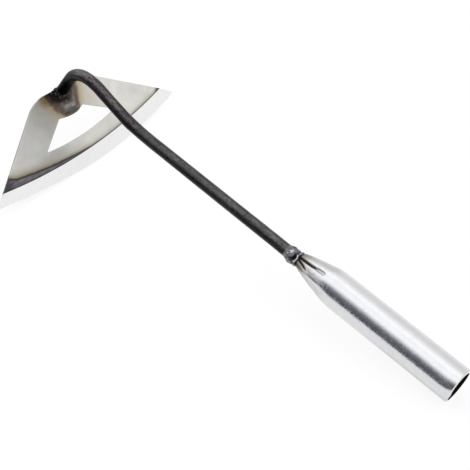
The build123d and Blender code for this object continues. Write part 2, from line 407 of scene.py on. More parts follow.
def make_blade(mat, mat_edge):
    # travel: left tip -> right tip along the cutting edge -> up the right arm -> top edge -> left arm
    cut = arc3((TIP_P, -TIP_Q), (CROWN_P, 0), (TIP_P, TIP_Q), 60)
    cut = [(p - lookup2(WORN, q), q) for p, q in cut]
    raw = cut + [(TOP_P, TOP_Q), (TOP_P, NOTCH_Q), (NOTCH_P, NOTCH_Q), (NOTCH_P, -NOTCH_Q), (TOP_P, -NOTCH_Q), (TOP_P, -TOP_Q)]
    n = len(raw)
    rr = {0: TIP_R, 60: 1.2, 61: SHOULDER_R, n - 1: SHOULDER_L}
    outer = fillet(raw, set(rr), rr)
    outer = resample(outer, 0.8)
    up = arc3((46.0, -10.5), (RIM_P, 0), (46.0, 10.5), 24)
    low = arc3((60.4, -30.4), (63.2, 0), (60.4, 30.4), 60)[::-1]
    low = [low[0]] + [c for c in low if abs(c[1]) < 27.6] + [low[-1]]      # room for the corners' fillets
    raw = up + low
    rr = {0: 1.0, 24: 1.0, 25: 0.7, len(raw) - 1: 0.6}
    window = resample(fillet(raw, set(rr), rr), 0.8)

    # which way is out of the metal
    def turned(pts, hole):
        area = sum(pts[i - 1][0] * pts[i][1] - pts[i][0] * pts[i - 1][1] for i in range(len(pts))) / 2
        want = area < 0 if hole else area > 0        # counter-clockwise outline, clockwise window
        return pts if want else pts[::-1]

    outer, window = turned(outer, False), turned(window, True)
    verts, faces, walls = [], [], []

    def radius(p, q):
        g = hypot(p - (GRIND_P - GRIND_R), q - GRIND_Q) - GRIND_R
        return 0.24 - 0.15 * sstep(1.0, 8.0, g)

    def inset(pts, norms, k):
        return [(pt[0] - nm[0] * k(i), pt[1] - nm[1] * k(i)) for i, (pt, nm) in enumerate(zip(pts, norms))]

    loops = []
    for pts in (outer, window):
        nm = normals(pts)
        rad = [radius(*p) for p in pts]
        loops.append((pts, nm, rad, inset(pts, nm, lambda i: rad[i]), inset(pts, nm, lambda i: rad[i] + 0.3)))

    # planar points: flat boundary rings, hold rings, the grind line, a hexagonal fill
    pts2, edges2 = [], []

    def ring(ps):
        s = len(pts2)
        pts2.extend(ps)
        edges2.extend((s + i, s + (i + 1) % len(ps)) for i in range(len(ps)))
        return s

    starts = [(ring(L[3]), ring(L[4])) for L in loops]
    keep_out = [p for L in loops for p in L[4]]
    bound_o, bound_w = loops[0][3], loops[1][3]
    grind = []
    k = 320
    for i in range(k + 1):
        a = -0.24 + 0.48 * i / k
        q = GRIND_Q + GRIND_R * sin(a)
        r = GRIND_R + grind_wobble(q)
        p = GRIND_P - GRIND_R + r * cos(a)
        hold = loops[0][4]
        if inside((p, q), hold):
            grind.append((p, GRIND_Q + r * sin(a)))
    # its ends run on to the outer ring
    s = len(pts2)
    pts2.extend(grind)
    edges2.extend((s + i, s + i + 1) for i in range(len(grind) - 1))
    grind_ids = set(range(s, s + len(grind)))
    keep_out += grind
    cell = {}
    for p in keep_out:
        cell.setdefault((int(floor(p[0])), int(floor(p[1]))), []).append(p)

    def near(p, d):
        ci, cj = int(floor(p[0])), int(floor(p[1]))
        for i in (-1, 0, 1):
            for j in (-1, 0, 1):
                for o in cell.get((ci + i, cj + j), ()):
                    if (o[0] - p[0]) ** 2 + (o[1] - p[1]) ** 2 < d * d:
                        return True
        return False

    hold_o, hold_w = loops[0][4], loops[1][4]
    row, p = 0, TOP_P
    while p < CROWN_P:
        fine = p < RIM_P + 3
        st = 0.62 if fine else 0.9
        q = -TIP_Q + (st / 2 if row % 2 else 0.0)
        lim = EDGE_K * p + EDGE_C + 8
        while q < TIP_Q:
            if abs(q) < lim and not near((p, q), 0.45 * st) and inside((p, q), hold_o) and not inside((p, q), hold_w):
                pts2.append((p, q))
            q += st
        p += st * 0.866
        row += 1

    out = delaunay_2d_cdt([Vector(v) for v in pts2], edges2, [], 0, 1e-6, True)
    vco, _, tris, orig, _, _ = out
    where = {}
    for new, olds in enumerate(orig):
        for o in olds:
            where[o] = new
    # the metal: every triangle reached from a large one without crossing the two outlines
    fence, sides = set(), {}
    for L, (s0, s1) in zip(loops, starts):
        m = len(L[0])
        fence |= {frozenset((where[s0 + i], where[s0 + (i + 1) % m])) for i in range(m)}
    seed, best = 0, 0.0
    for ti, t in enumerate(tris):
        a, b, c = (vco[i] for i in t)
        area = abs((b[0] - a[0]) * (c[1] - a[1]) - (c[0] - a[0]) * (b[1] - a[1]))
        mid_ = ((a[0] + b[0] + c[0]) / 3, (a[1] + b[1] + c[1]) / 3)
        if area > best and inside(mid_, bound_o) and not inside(mid_, bound_w):
            seed, best = ti, area
        for i in range(3):
            sides.setdefault(frozenset((t[i], t[(i + 1) % 3])), []).append(ti)
    reached, todo = {seed}, [seed]
    while todo:
        t = tris[todo.pop()]
        for i in range(3):
            side = frozenset((t[i], t[(i + 1) % 3]))
            if side not in fence:
                for o in sides[side]:
                    if o not in reached:
                        reached.add(o)
                        todo.append(o)
    tri2 = [tris[i] for i in sorted(reached)]
    nv = len(vco)
    verts = [B(v[0], v[1], front(v[0], v[1])) for v in vco] + [B(v[0], v[1], back(v[0], v[1])) for v in vco]
    for t in tri2:
        a, b, c = t
        area = (vco[b][0] - vco[a][0]) * (vco[c][1] - vco[a][1]) - (vco[c][0] - vco[a][0]) * (vco[b][1] - vco[a][1])
        if area < 0:
            b, c = c, b
        # (p, q, n) is left-handed as EP x EY = -EN or right-handed: settled below by one test
        faces.append((a, b, c))
        faces.append((nv + c, nv + b, nv + a))
    # rounded edges and walls
    for L, (s0, s1) in zip(loops, starts):
        pts, nm, rad = L[0], L[1], L[2]
        m = len(pts)
        rings = [[where[s0 + i] for i in range(m)]]

        def layer(k, d, from_back):
            base = len(verts)
            for i in range(m):
                p = pts[i][0] - nm[i][0] * rad[i] * k
                q = pts[i][1] - nm[i][1] * rad[i] * k
                n = back(p, q) + rad[i] * d if from_back else front(p, q) - rad[i] * d
                verts.append(B(p, q, n))
            rings.append(list(range(base, base + m)))

        for a in (22.5, 45.0, 67.5, 90.0):
            layer(1 - sin(radians(a)), 1 - cos(radians(a)), False)
        for a in (90.0, 67.5, 45.0, 22.5):
            layer(1 - sin(radians(a)), 1 - cos(radians(a)), True)
        rings.append([nv + where[s0 + i] for i in range(m)])
        for ri, (r0, r1) in enumerate(zip(rings, rings[1:])):
            for i in range(m):
                j = (i + 1) % m
                if 3 <= ri <= 5:
                    walls.append(len(faces))
                faces.append((r0[j], r0[i], r1[i], r1[j]))
    if EP.cross(EY).dot(EN) < 0:
        faces = [tuple(reversed(f)) for f in faces]
    # drop unused planar points
    used = sorted({i for f in faces for i in f})
    remap = {o: i for i, o in enumerate(used)}
    verts = [verts[i] for i in used]
    faces = [tuple(remap[i] for i in f) for f in faces]
    fm = [0] * len(faces)
    for i in walls:
        fm[i] = 1
    ob = add("blade", verts, faces, [mat, mat_edge], face_mats=fm)
    # crisp grind line on the front
    me = ob.data
    gset = {remap[where[i]] for i in grind_ids if where[i] in remap}
    for e in me.edges:
        if e.vertices[0] in gset and e.vertices[1] in gset:
            e.use_edge_sharp = True
    return ob


# ------------------------------------------------------------------------------------------------
# rod
ROD_R = 3.9
ROD_X0 = -101.0


def rod_points(step):
    """[(x, z, heading, s)] along the rod's axis in the tool frame."""
    out = [[ROD_X0, 0.0, 0.0, 0.0]]
    x, z, a, s = ROD_X0, 0.0, 0.0, 0.0

    def line(length):
        nonlocal x, z, s
        k = max(1, int(round(length / step)))
        for i in range(1, k + 1):
            d = length * i / k
            out.append([x - d * cos(a), z + d * sin(a), a, s + d])
        x, z, s = x - length * cos(a), z + length * sin(a), s + length

    def arc(r, turn):
        nonlocal x, z, a, s
        sg = 1 if turn > 0 else -1
        cx, cz = x + sg * r * sin(a), z + sg * r * cos(a)
        length = abs(turn) * r
        k = max(4, int(round(length / step)))
        for i in range(1, k + 1):
            b = a + turn * i / k
            out.append([cx - sg * r * sin(b), cz - sg * r * cos(b), b, s + length * i / k])
        a = a + turn
        x, z, s = cx - sg * r * sin(a), cz - sg * r * cos(a), s + length

    line(ROD_X0 + 230.2)
    arc(131.0, radians(22.75))
    arc(22.85, -radians(84.55))
    turn3 = radians(135.0) + a
    n_dir = -(cos(a) * sin(TH)) + sin(a) * cos(TH)
    n_now = (x - BLADE_X) * sin(TH) + z * cos(TH)
    run = (-2.95 - n_now) / n_dir - 7.0 * tan(turn3 / 2)
    line(run)
    arc(7.0, -turn3)
    line(45.6 - ((x - BLADE_X) * cos(TH) - z * sin(TH)))
    return out


# bent by hand over a bar: the axis wanders off its clean arcs by up to 0.3 mm (s, mm towards the outside)
WANDER = [(0.0, 0.0), (14.0, -0.14), (24.0, -0.30), (34.0, -0.14), (50.0, -0.10), (68.0, -0.05), (84.0, 0.05), (104.0, 0.16), (114.0, 0.24), (124.0, 0.28),
          (132.0, 0.22), (137.0, 0.17), (141.0, 0.04), (145.0, -0.08), (150.0, -0.10), (155.0, -0.20), (158.0, -0.08), (161.0, 0.10), (168.0, 0.30),
          (173.0, 0.28), (177.0, 0.20), (181.0, 0.03), (188.0, -0.20), (192.0, -0.04), (197.0, 0.13), (202.0, 0.10), (209.0, -0.08), (216.0, 0.02), (226.0, 0.0)]


def wander(s):
    if s >= WANDER[-1][0]:
        return 0.0
    for (s0, v0), (s1, v1) in zip(WANDER, WANDER[1:]):
        if s <= s1:
            return v0 + (v1 - v0) * sstep(0.0, 1.0, (s - s0) / (s1 - s0))
    return 0.0


def make_rod(mat):
    path = rod_points(0.75)
    path = [(x + wander(s) * sin(a), z + wander(s) * cos(a), a, s) for x, z, a, s in path]
    nseg = 56
    verts, faces, flow = [], [], []
    total = path[-1][3]

    def ring(x, z, a, s, r0, ripple=1.0):
        hx, hz = -cos(a), sin(a)             # heading
        ux, uz = sin(a), cos(a)              # across it, upwards
        base = len(verts)
        for j in range(nseg):
            f = 2 * pi * j / nseg
            cy, cu = sin(f), cos(f)
            lump = 0.035 * fbm(s * 0.11, cy * 1.3, cu * 1.3, 3) + 0.02 * fbm(s * 0.5 + 20, cy * 3, cu * 3, 2)
            r = r0 - 0.05 * ripple + ripple * lump
            # the inside of the first bend was upset a little
            r += 0.22 * exp(-((s - 152.5) / 4.0) ** 2) * max(0.0, cos(f + radians(118.0))) ** 2
            r -= 0.05 * exp(-((s - 205.0) / 14.0) ** 2) * max(0.0, cos(f))
            verts.append(T(x + ux * r * cu, r * cy, z + uz * r * cu))
            flow.append((s * 0.001, r * cy * 0.001, r * cu * 0.001))
        return base

    rings = []
    x, z, a, s = path[0]
    rings.append(ring(x, z, a, s, ROD_R - 0.4))
    for x, z, a, s in path[1:-1]:
        rings.append(ring(x, z, a, s, ROD_R))
    x, z, a, s = path[-1]
    for back_, dr in ((0.35, 0.0), (0.1, 0.1), (0.0, 0.4)):
        rings.append(ring(x + back_ * cos(a), z - back_ * sin(a), a, s - back_, ROD_R - dr))
    for r0, r1 in zip(rings, rings[1:]):
        for j in range(nseg):
            k = (j + 1) % nseg
            faces.append((r0 + j, r0 + k, r1 + k, r1 + j))
    # end faces: two inner rings and a centre, slightly dished by the cut
    for ringbase, (x, z, a, s), rev in ((rings[0], path[0], True), (rings[-1], path[-1], False)):
        prev = ringbase
        hx, hz = -cos(a), sin(a)
        ux, uz = sin(a), cos(a)
        for rr in (2.4, 1.1):
            base = len(verts)
            for j in range(nseg):
                f = 2 * pi * j / nseg
                lump = 0.05 * fbm(rr * cos(f), rr * sin(f), s, 2)
                sg = -1 if rev else 1
                verts.append(T(x + ux * rr * cos(f) - sg * hx * (0.05 - lump), rr * sin(f), z + uz * rr * cos(f) - sg * hz * (0.05 - lump)))
                flow.append((s * 0.001, rr * sin(f) * 0.001, rr * cos(f) * 0.001))
            for j in range(nseg):
                k = (j + 1) % nseg
                q = (prev + j, prev + k, base + k, base + j)
                faces.append(q if not rev else tuple(reversed(q)))
            prev = base
        c = len(verts)
        verts.append(T(x, 0, z))
        flow.append((s * 0.001, 0, 0))
        for j in range(nseg):
            k = (j + 1) % nseg
            t = (prev + j, prev + k, c)
            faces.append(t if not rev else tuple(reversed(t)))
    return add("rod", verts, faces, [mat], flow=flow)


# ------------------------------------------------------------------------------------------------
# socket tube: lathe with a swaged nose, folded into creases where the wall had to go somewhere
TUBE_R = 11.0
SH_X, SH_LEN, NOSE_A, NOSE_X = -84.0, 9.0, radians(12.6), -112.0
ARC_R = SH_LEN / sin(NOSE_A)
SH2_X, SH2_R = SH_X - SH_LEN, TUBE_R - ARC_R * (1 - cos(NOSE_A))


def tube_radius(x):
    if x >= SH_X:
        return TUBE_R
    if x >= SH2_X:
        d = SH_X - x
        return TUBE_R - (ARC_R - sqrt(ARC_R ** 2 - d * d))
    return SH2_R - (SH2_X - x) * tan(NOSE_A)


def lookup(table, x):
    """Straight lines between (x, value) pairs with x falling."""
    if x >= table[0][0]:
        return table[0][1]
    for (x0, v0), (x1, v1) in zip(table, table[1:]):
        if x >= x1:
            return v0 + (v1 - v0) * (x0 - x) / (x0 - x1)
    return table[-1][1]


# one side of the nose was struck flatter than the rest
FLAT_SIDE = [(-83.0, 0.0), (-86.0, 0.22), (-90.0, 0.50), (-98.0, 0.60), (-102.0, 0.65), (-106.0, 0.95), (-109.0, 1.15), (-112.0, 1.35)]

# creases: (x, angle) line from the collar outwards, half width, depth, soot, each along x; soot is darkening that
# stands for soot and painted shade in the fold
CREASES = [
    dict(line=[(-92.5, -18.5), (-97.5, -18.5), (-100.0, -18.0), (-102.0, -19.2), (-106.0, -18.8), (-112.0, -16.8)],
         half=[(-92.5, 0.5), (-94.0, 0.9), (-98.0, 0.95), (-100.0, 0.80), (-103.0, 0.82), (-112.0, 0.85)],
         deep=[(-92.5, 0.0), (-94.6, 0.12), (-97.0, 0.25), (-99.0, 0.50), (-102.0, 1.0), (-112.0, 1.3)],
         soot=[(-93.0, 0.0), (-94.4, 0.30), (-97.2, 0.36), (-98.6, 0.62), (-99.6, 0.95), (-100.4, 1.1), (-112.0, 1.15)], loop=(-93.0, -99.4)),
    dict(line=[(-102.5, -53.0), (-107.0, -46.5), (-109.0, -41.0), (-112.0, -33.5)],
         half=[(-102.5, 0.35), (-104.0, 0.7), (-106.0, 0.90), (-112.0, 0.95)],
         deep=[(-102.5, 0.0), (-104.5, 0.40), (-106.5, 0.9), (-112.0, 1.1)],
         soot=[(-102.3, 0.0), (-103.6, 0.45), (-104.6, 0.85), (-105.4, 1.1), (-112.0, 1.15)], loop=None),
    dict(line=[(-90.5, -56.5), (-94.5, -58.0), (-98.5, -59.0), (-101.5, -60.0), (-104.0, -66.0), (-106.5, -69.5), (-112.0, -67.0)],
         half=[(-91.5, 0.5), (-95.0, 0.75), (-101.0, 0.80), (-105.0, 0.85), (-112.0, 0.9)],
         deep=[(-91.5, 0.0), (-96.0, 0.03), (-103.0, 0.06), (-107.0, 0.4), (-112.0, 0.8)],
         soot=[(-90.5, 0.0), (-92.5, 0.35), (-95.0, 0.72), (-99.0, 0.70), (-102.0, 0.46), (-104.0, 0.42), (-106.0, 0.66), (-112.0, 0.90)], loop=None),
    dict(line=[(-95.5, -108.0), (-112.0, -103.0)],
         half=[(-95.5, 0.3), (-98.0, 0.95), (-103.0, 0.75), (-112.0, 0.8)],
         deep=[(-95.5, 0.0), (-98.0, 0.35), (-103.0, 0.8), (-112.0, 0.9)],
         soot=[(-99.0, 0.0), (-105.0, 0.8), (-112.0, 1.0)], loop=(-95.8, -100.0)),
    dict(line=[(-97.5, -151.0), (-112.0, -146.0)],
         half=[(-97.5, 0.3), (-100.0, 0.8), (-112.0, 0.75)],
         deep=[(-97.5, 0.0), (-101.0, 0.45), (-106.0, 0.9), (-112.0, 1.1)],
         soot=[(-100.0, 0.0), (-106.0, 0.8), (-112.0, 1.0)], loop=None),
    dict(line=[(-94.0, 167.0), (-112.0, 161.0)],
         half=[(-94.0, 0.3), (-96.5, 1.1), (-101.0, 0.8), (-112.0, 0.85)],
         deep=[(-94.0, 0.0), (-96.5, 0.32), (-101.0, 0.75), (-112.0, 1.2)],
         soot=[(-98.5, 0.0), (-103.5, 0.9), (-112.0, 1.0)], loop=(-94.4, -99.6)),
    dict(line=[(-100.0, 119.0), (-112.0, 121.0)],
         half=[(-100.0, 0.3), (-103.0, 0.8), (-112.0, 0.8)],
         deep=[(-100.0, 0.0), (-104.0, 0.45), (-112.0, 1.0)],
         soot=[(-102.0, 0.0), (-106.5, 0.75), (-112.0, 1.0)], loop=None),
    dict(line=[(-96.5, 77.0), (-112.0, 73.0)],
         half=[(-96.5, 0.3), (-99.0, 1.0), (-104.0, 0.75), (-112.0, 0.8)],
         deep=[(-96.5, 0.0), (-99.0, 0.32), (-104.0, 0.75), (-112.0, 1.0)],
         soot=[(-100.0, 0.0), (-105.0, 0.85), (-112.0, 1.0)], loop=(-96.8, -101.0)),
    dict(line=[(-104.0, 31.0), (-112.0, 29.0)],
         half=[(-104.0, 0.6), (-112.0, 1.0)],
         deep=[(-104.0, 0.0), (-108.0, 0.14), (-112.0, 0.22)],
         soot=[(-104.0, 0.0), (-108.0, 0.10), (-112.0, 0.3)], loop=None),
]


def crease(x, phi):
    """(depth, soot) of the folds at x and angle phi; soot is soot plus painted shade in the folds."""
    if x > -89.0:
        return 0.0, 0.0
    r = tube_radius(x)
    depth, soot = 0.0, 0.0
    for i, c in enumerate(CREASES):
        if x > c["line"][0][0] + 1.4:
            continue
        a = lookup(c["line"], x) + 0.8 * noise.noise(Vector((x * 0.35, i * 3.7, 0.5)))
        off = ((phi - a + 180) % 360 - 180) * pi / 180 * r
        u = abs(off) / max(0.2, lookup(c["half"], x))
        if u > 4:
            continue
        depth += lookup(c["deep"], x) * exp(-abs(u * 0.95) ** 2.4)
        soot += lookup(c["soot"], x) * exp(-abs(u * 0.98) ** 3.2)
        if c["loop"]:
            # the fold opens into a drop-shaped dimple with a dark rim of painted shade, darker on its +phi side
            x0, x1 = c["loop"]
            hw = 0.92
            dist = hypot(off, max(0.0, x - (x0 - hw)))
            rim = exp(-((dist - hw) / 0.46) ** 2) * sstep(0.0, 2.4, x - x1 + 0.6)
            soot += (0.70 if off > 0 else 0.42) * rim
    return depth, min(1.0, soot)


# and the top of its end was drawn in a little more
TOP_SIDE = [(-104.0, 0.0), (-106.0, 0.13), (-108.0, 0.27), (-110.0, 0.42), (-112.0, 0.52)]


def make_tube(mat, mat_in):
    nseg = 360
    prof = [(NOSE_X, 3.95, 0), (NOSE_X, 4.4, 0)]
    x = NOSE_X + 0.15
    while x < -84.0:
        prof.append((x, tube_radius(x), 1))
        x += 0.28
    while x < -6.0:
        prof.append((x, TUBE_R, 1))
        x += 1.3
    while x < MOUTH_X - 1.3:
        prof.append((x, TUBE_R, 1))
        x += 0.45
    for i in range(11):
        prof.append((MOUTH_X, i / 10, 3))
    prof.append((MOUTH_X, 9.17, 1))
    n_out = len(prof)
    for i in range(1, 7):
        a = pi / 2 * i / 6
        prof.append((MOUTH_X - 0.17 + 0.17 * cos(a), 9.17 - 0.17 * sin(a), 2))
    x = -1.0
    while x > -83.0:
        prof.append((x, 9.0, 2))
        x -= 3.0
    prof.append((-84.0, 9.0, 2))
    for i in range(1, 9):
        prof.append((-84.0 - 22.0 * i / 8, 9.0 - (9.0 - 3.95) * i / 8, 2))
    verts, faces, flow, fm, soots = [], [], [], [], []
    for x, r, kind in prof:
        for j in range(nseg):
            phi = -180 + 360 * j / nseg
            a = radians(phi)
            rr, sv, xv = r, 0.0, x
            if kind == 3:                         # rounded rim, sharper where it was filed
                rim = 1.05 - 0.35 * exp(-((phi + 45.0) / 38.0) ** 2)
                rr = TUBE_R - rim + rim * cos(pi / 2 * r)
                xv = MOUTH_X - rim + rim * sin(pi / 2 * r)
            if kind in (1, 3):
                dep, sv = crease(x, phi)
                side = max(0.0, cos(radians(phi + 122.0)))
                flat_ = lookup(FLAT_SIDE, x) * side ** 1.6 + lookup(TOP_SIDE, x) * max(0.0, cos(radians(phi - 58.0))) ** 1.6
                ends = sstep(0.0, 6.0, MOUTH_X - x)
                wave = 0.5 + 0.5 * fbm(x * 0.05, cos(a) * 1.2, sin(a) * 1.2, 2)
                lump = 0.5 + 0.5 * fbm(x * 0.22, cos(a) * 2.0 + 4, sin(a) * 2.0, 2)
                rr -= dep + flat_ + 0.025 * wave * ends + 0.10 * lump * sstep(88, 98, -x)
                u = (xv + 5.6) / (5.6 + MOUTH_X)
                if u > 0:                         # filed down a little on its near side
                    rr -= 0.90 * u ** 1.4 * exp(-((phi + 66.0) / 29.0) ** 2)
                if kind == 3 or r == 9.17:        # the rim's flat face stays outside the bore
                    rr = max(rr, 9.17 + 0.02 * (MOUTH_X - xv) + (0.012 * (1.0 - r) if kind == 3 else 0.0))
                rr = max(rr, 3.95)
                if x < -110.6:                    # the nose's end is rounded over, under the weld
                    rr -= 0.55 * (1 - sstep(0, 0.9, x + 112))
                    rr = max(rr, 3.95)
            elif kind == 0:
                sv = 1.0
            if xv > -1.5:                         # the cut is a shade out of square
                xv -= sstep(-1.5, 0.2, xv) * (0.23 * exp(-(phi / 42.0) ** 2) - 0.30 * exp(-((phi + 76.0) / 14.0) ** 2))
            verts.append(T(xv, rr * sin(a), rr * cos(a)))
            flow.append((xv * 0.001, rr * sin(a) * 0.001, rr * cos(a) * 0.001))
            soots.append(sv)
    rings = len(prof)
    for i in range(rings):
        i2 = (i + 1) % rings
        for j in range(nseg):
            k = (j + 1) % nseg
            faces.append((i * nseg + j, i2 * nseg + j, i2 * nseg + k, i * nseg + k))
            fm.append(1 if (i >= n_out - 1) else 0)
    return add("socket_tube", verts, faces, [mat, mat_in], face_mats=fm, flow=flow, extra={"soot": soots})


# ------------------------------------------------------------------------------------------------
# collar weld: one heavy run laid round the rod, washed on to the end of the nose
# radius on its high side (towards +Z, +Y) and on its low side, along x
COLLAR_HI = [(-110.6, 5.55), (-111.6, 5.40), (-112.4, 5.30), (-113.4, 5.10), (-114.2, 4.80), (-115.2, 4.66), (-116.2, 4.72), (-117.4, 4.82),
             (-118.6, 4.85), (-119.6, 4.80), (-120.4, 4.62), (-121.0, 4.35), (-121.6, 3.98), (-122.2, 3.82)]
COLLAR_LO = [(-110.6, 3.85), (-111.6, 4.15), (-112.4, 4.60), (-113.4, 5.02), (-114.2, 5.20), (-115.2, 5.28), (-116.2, 5.30), (-117.4, 5.28),
             (-118.6, 5.10), (-119.6, 4.85), (-120.4, 4.60), (-121.0, 4.40), (-121.6, 4.15), (-122.2, 3.85)]


def make_collar(mat):
    nseg = 220
    prof = []
    x = -110.6
    while x > -122.1:
        prof.append(x)
        x -= 0.14
    verts, faces, flow, soots, painted_highlight = [], [], [], [], []

    def height(x, phi):
        a = radians(phi)
        ca, sa = cos(a), sin(a)
        side = 0.5 + 0.5 * cos(radians(phi - 58.0))
        wob = 0.5 * fbm(ca * 1.3, sa * 1.3, 2.2, 2)
        base = lookup(COLLAR_HI, x + wob * 0.5) * side + lookup(COLLAR_LO, x + wob * 0.5) * (1 - side)
        env = sstep(0.0, 1.6, x + 122.1) * (1.0 - sstep(-111.4, -110.6, x))
        # valleys either side of a thin bright ring, and the laps of the run
        ring = 0.30 * exp(-(((x + 113.2 - 0.5 * wob) / 0.45) ** 2))
        val = -0.42 * exp(-(((x + 114.6 - 0.7 * wob) / 0.55) ** 2)) - 0.38 * exp(-(((x + 112.0 - 0.3 * wob) / 0.5) ** 2))
        laps = 0.16 * cos(radians(phi) * 9 + 1.2 * sin(a * 2 + 0.4) + (x + 117) * 1.1) * exp(-(((x + 117.6) / 2.4) ** 2))
        lump = 0.34 * fbm(x * 0.42, ca * 2.4, sa * 2.4, 3)
        # a pit on the near side, with a lip towards the nose; the lip and two spots past the pit get a painted
        # highlight (near-white colour)
        d = ((phi + 41 + 180) % 360 - 180) * pi / 180 * 4.6
        pit = -0.95 * exp(-((x + 114.9) / 1.0) ** 2 - (d / 1.3) ** 2)
        pit -= 0.55 * exp(-((x + 116.6) / 0.8) ** 2 - ((d + 1.6) / 0.9) ** 2)
        lip = exp(-((hypot((x + 114.9) / 2.1, d / 2.3) - 1.0) / 0.16) ** 2) * sstep(-115.2, -113.8, x) * sstep(-3.2, -1.6, d + 0.4)
        painted_highlight.append(min(1.0, lip * 1.2 + 0.9 * exp(-((x + 118.2) / 0.8) ** 2 - ((d - 1.9) / 0.7) ** 2) + 0.6 * exp(-((x + 119.4) / 0.5) ** 2 - ((d + 0.2) / 0.9) ** 2)))
        burnt = sstep(-113.4, -112.4, x - 0.25 * wob) * sstep(-92.0, -70.0, (phi + 180) % 360 - 180) * (1 - sstep(-4.0, 14.0, (phi + 180) % 360 - 180))
        knob = 0.28 * exp(-((x + 118.9) / 0.9) ** 2 - ((((phi + 24 + 180) % 360 - 180) * pi / 180 * 4.8) / 1.5) ** 2)
        # soot: the valleys and the pit darkened by their depth as painted shade, plus the burnt side as real burn
        return base - 0.22 + (ring + val + laps + lump + pit + knob + 0.22 * lip) * env, min(1.0, max(0.0, -(val + pit) * 1.9 * env) + 0.95 * burnt)

    for x in prof:
        for j in range(nseg):
            phi = 360 * j / nseg
            a = radians(phi)
            r, sv = height(x, phi)
            r = min(5.8, max(3.84, r))
            verts.append(T(x, r * sin(a), r * cos(a)))
            flow.append((x * 0.001, r * sin(a) * 0.001, r * cos(a) * 0.001))
            soots.append(sv)
    m = len(prof)
    for xx in (prof[-1], prof[0]):            # inner wall, inside the rod
        for j in range(nseg):
            a = radians(360 * j / nseg)
            verts.append(T(xx, 3.5 * sin(a), 3.5 * cos(a)))
            flow.append((xx * 0.001, 3.5 * sin(a) * 0.001, 3.5 * cos(a) * 0.001))
            soots.append(1.0)
            painted_highlight.append(0.0)
    order = list(range(m)) + [m, m + 1]
    for r0, r1 in zip(order, order[1:] + order[:1]):
        for j in range(nseg):
            k = (j + 1) % nseg
            faces.append((r1 * nseg + j, r0 * nseg + j, r0 * nseg + k, r1 * nseg + k))
    return add("collar_weld_bead", verts, faces, [mat], flow=flow, extra={"soot": soots, "painted_highlight": painted_highlight})


# ------------------------------------------------------------------------------------------------
# weld beads built from overlapping blobs, fused by a voxel remesh and roughened
def blob_mesh(blobs, name, mat, voxel, rough_amp, rough_scale, seed, more=None):
    """blobs: (centre in the row frame, three radii in m, three axes); more: one more closed shape."""
    verts, faces = [], []
    if more:
        verts, faces = list(more[0]), list(more[1])
    nu, nv = 20, 12
    for c, r, axes in blobs:
        base = len(verts)
        for i in range(nv + 1):
            t = pi * i / nv
            for j in range(nu):
                f = 2 * pi * j / nu
                d = (sin(t) * cos(f), sin(t) * sin(f), cos(t))
                verts.append(c + axes[0] * (r[0] * d[0]) + axes[1] * (r[1] * d[1]) + axes[2] * (r[2] * d[2]))
        for i in range(nv):
            for j in range(nu):
                k = (j + 1) % nu
                a, b, c2, d2 = base + i * nu + j, base + i * nu + k, base + (i + 1) * nu + k, base + (i + 1) * nu + j
                if i == 0:
                    faces.append((a, c2, d2))
                elif i == nv - 1:
                    faces.append((a, b, d2))
                else:
                    faces.append((a, b, c2, d2))
    tmp = add(name + "_raw", verts, faces, [mat])
    md = tmp.modifiers.new("remesh", "REMESH")
    md.mode = "VOXEL"
    md.voxel_size = voxel
    md.use_smooth_shade = True
    sm = tmp.modifiers.new("smooth", "SMOOTH")
    sm.factor = 0.5
    sm.iterations = 4
    bpy.context.view_layer.update()
    dg = bpy.context.evaluated_depsgraph_get()
    me = bpy.data.meshes.new_from_object(tmp.evaluated_get(dg))
    bpy.data.objects.remove(tmp)
    me.name = name
    for v in me.vertices:
        n = v.normal
        s = rough_scale
        d = fbm(v.co.x * s + seed, v.co.y * s, v.co.z * s, 3)
        v.co += n * (rough_amp * d)
    me.materials.clear()
    me.materials.append(mat)
    me.polygons.foreach_set("use_smooth", [True] * len(me.polygons))
    me.update()
    ob = bpy.data.objects.new(name, me)
    coll.objects.link(ob)
    return ob


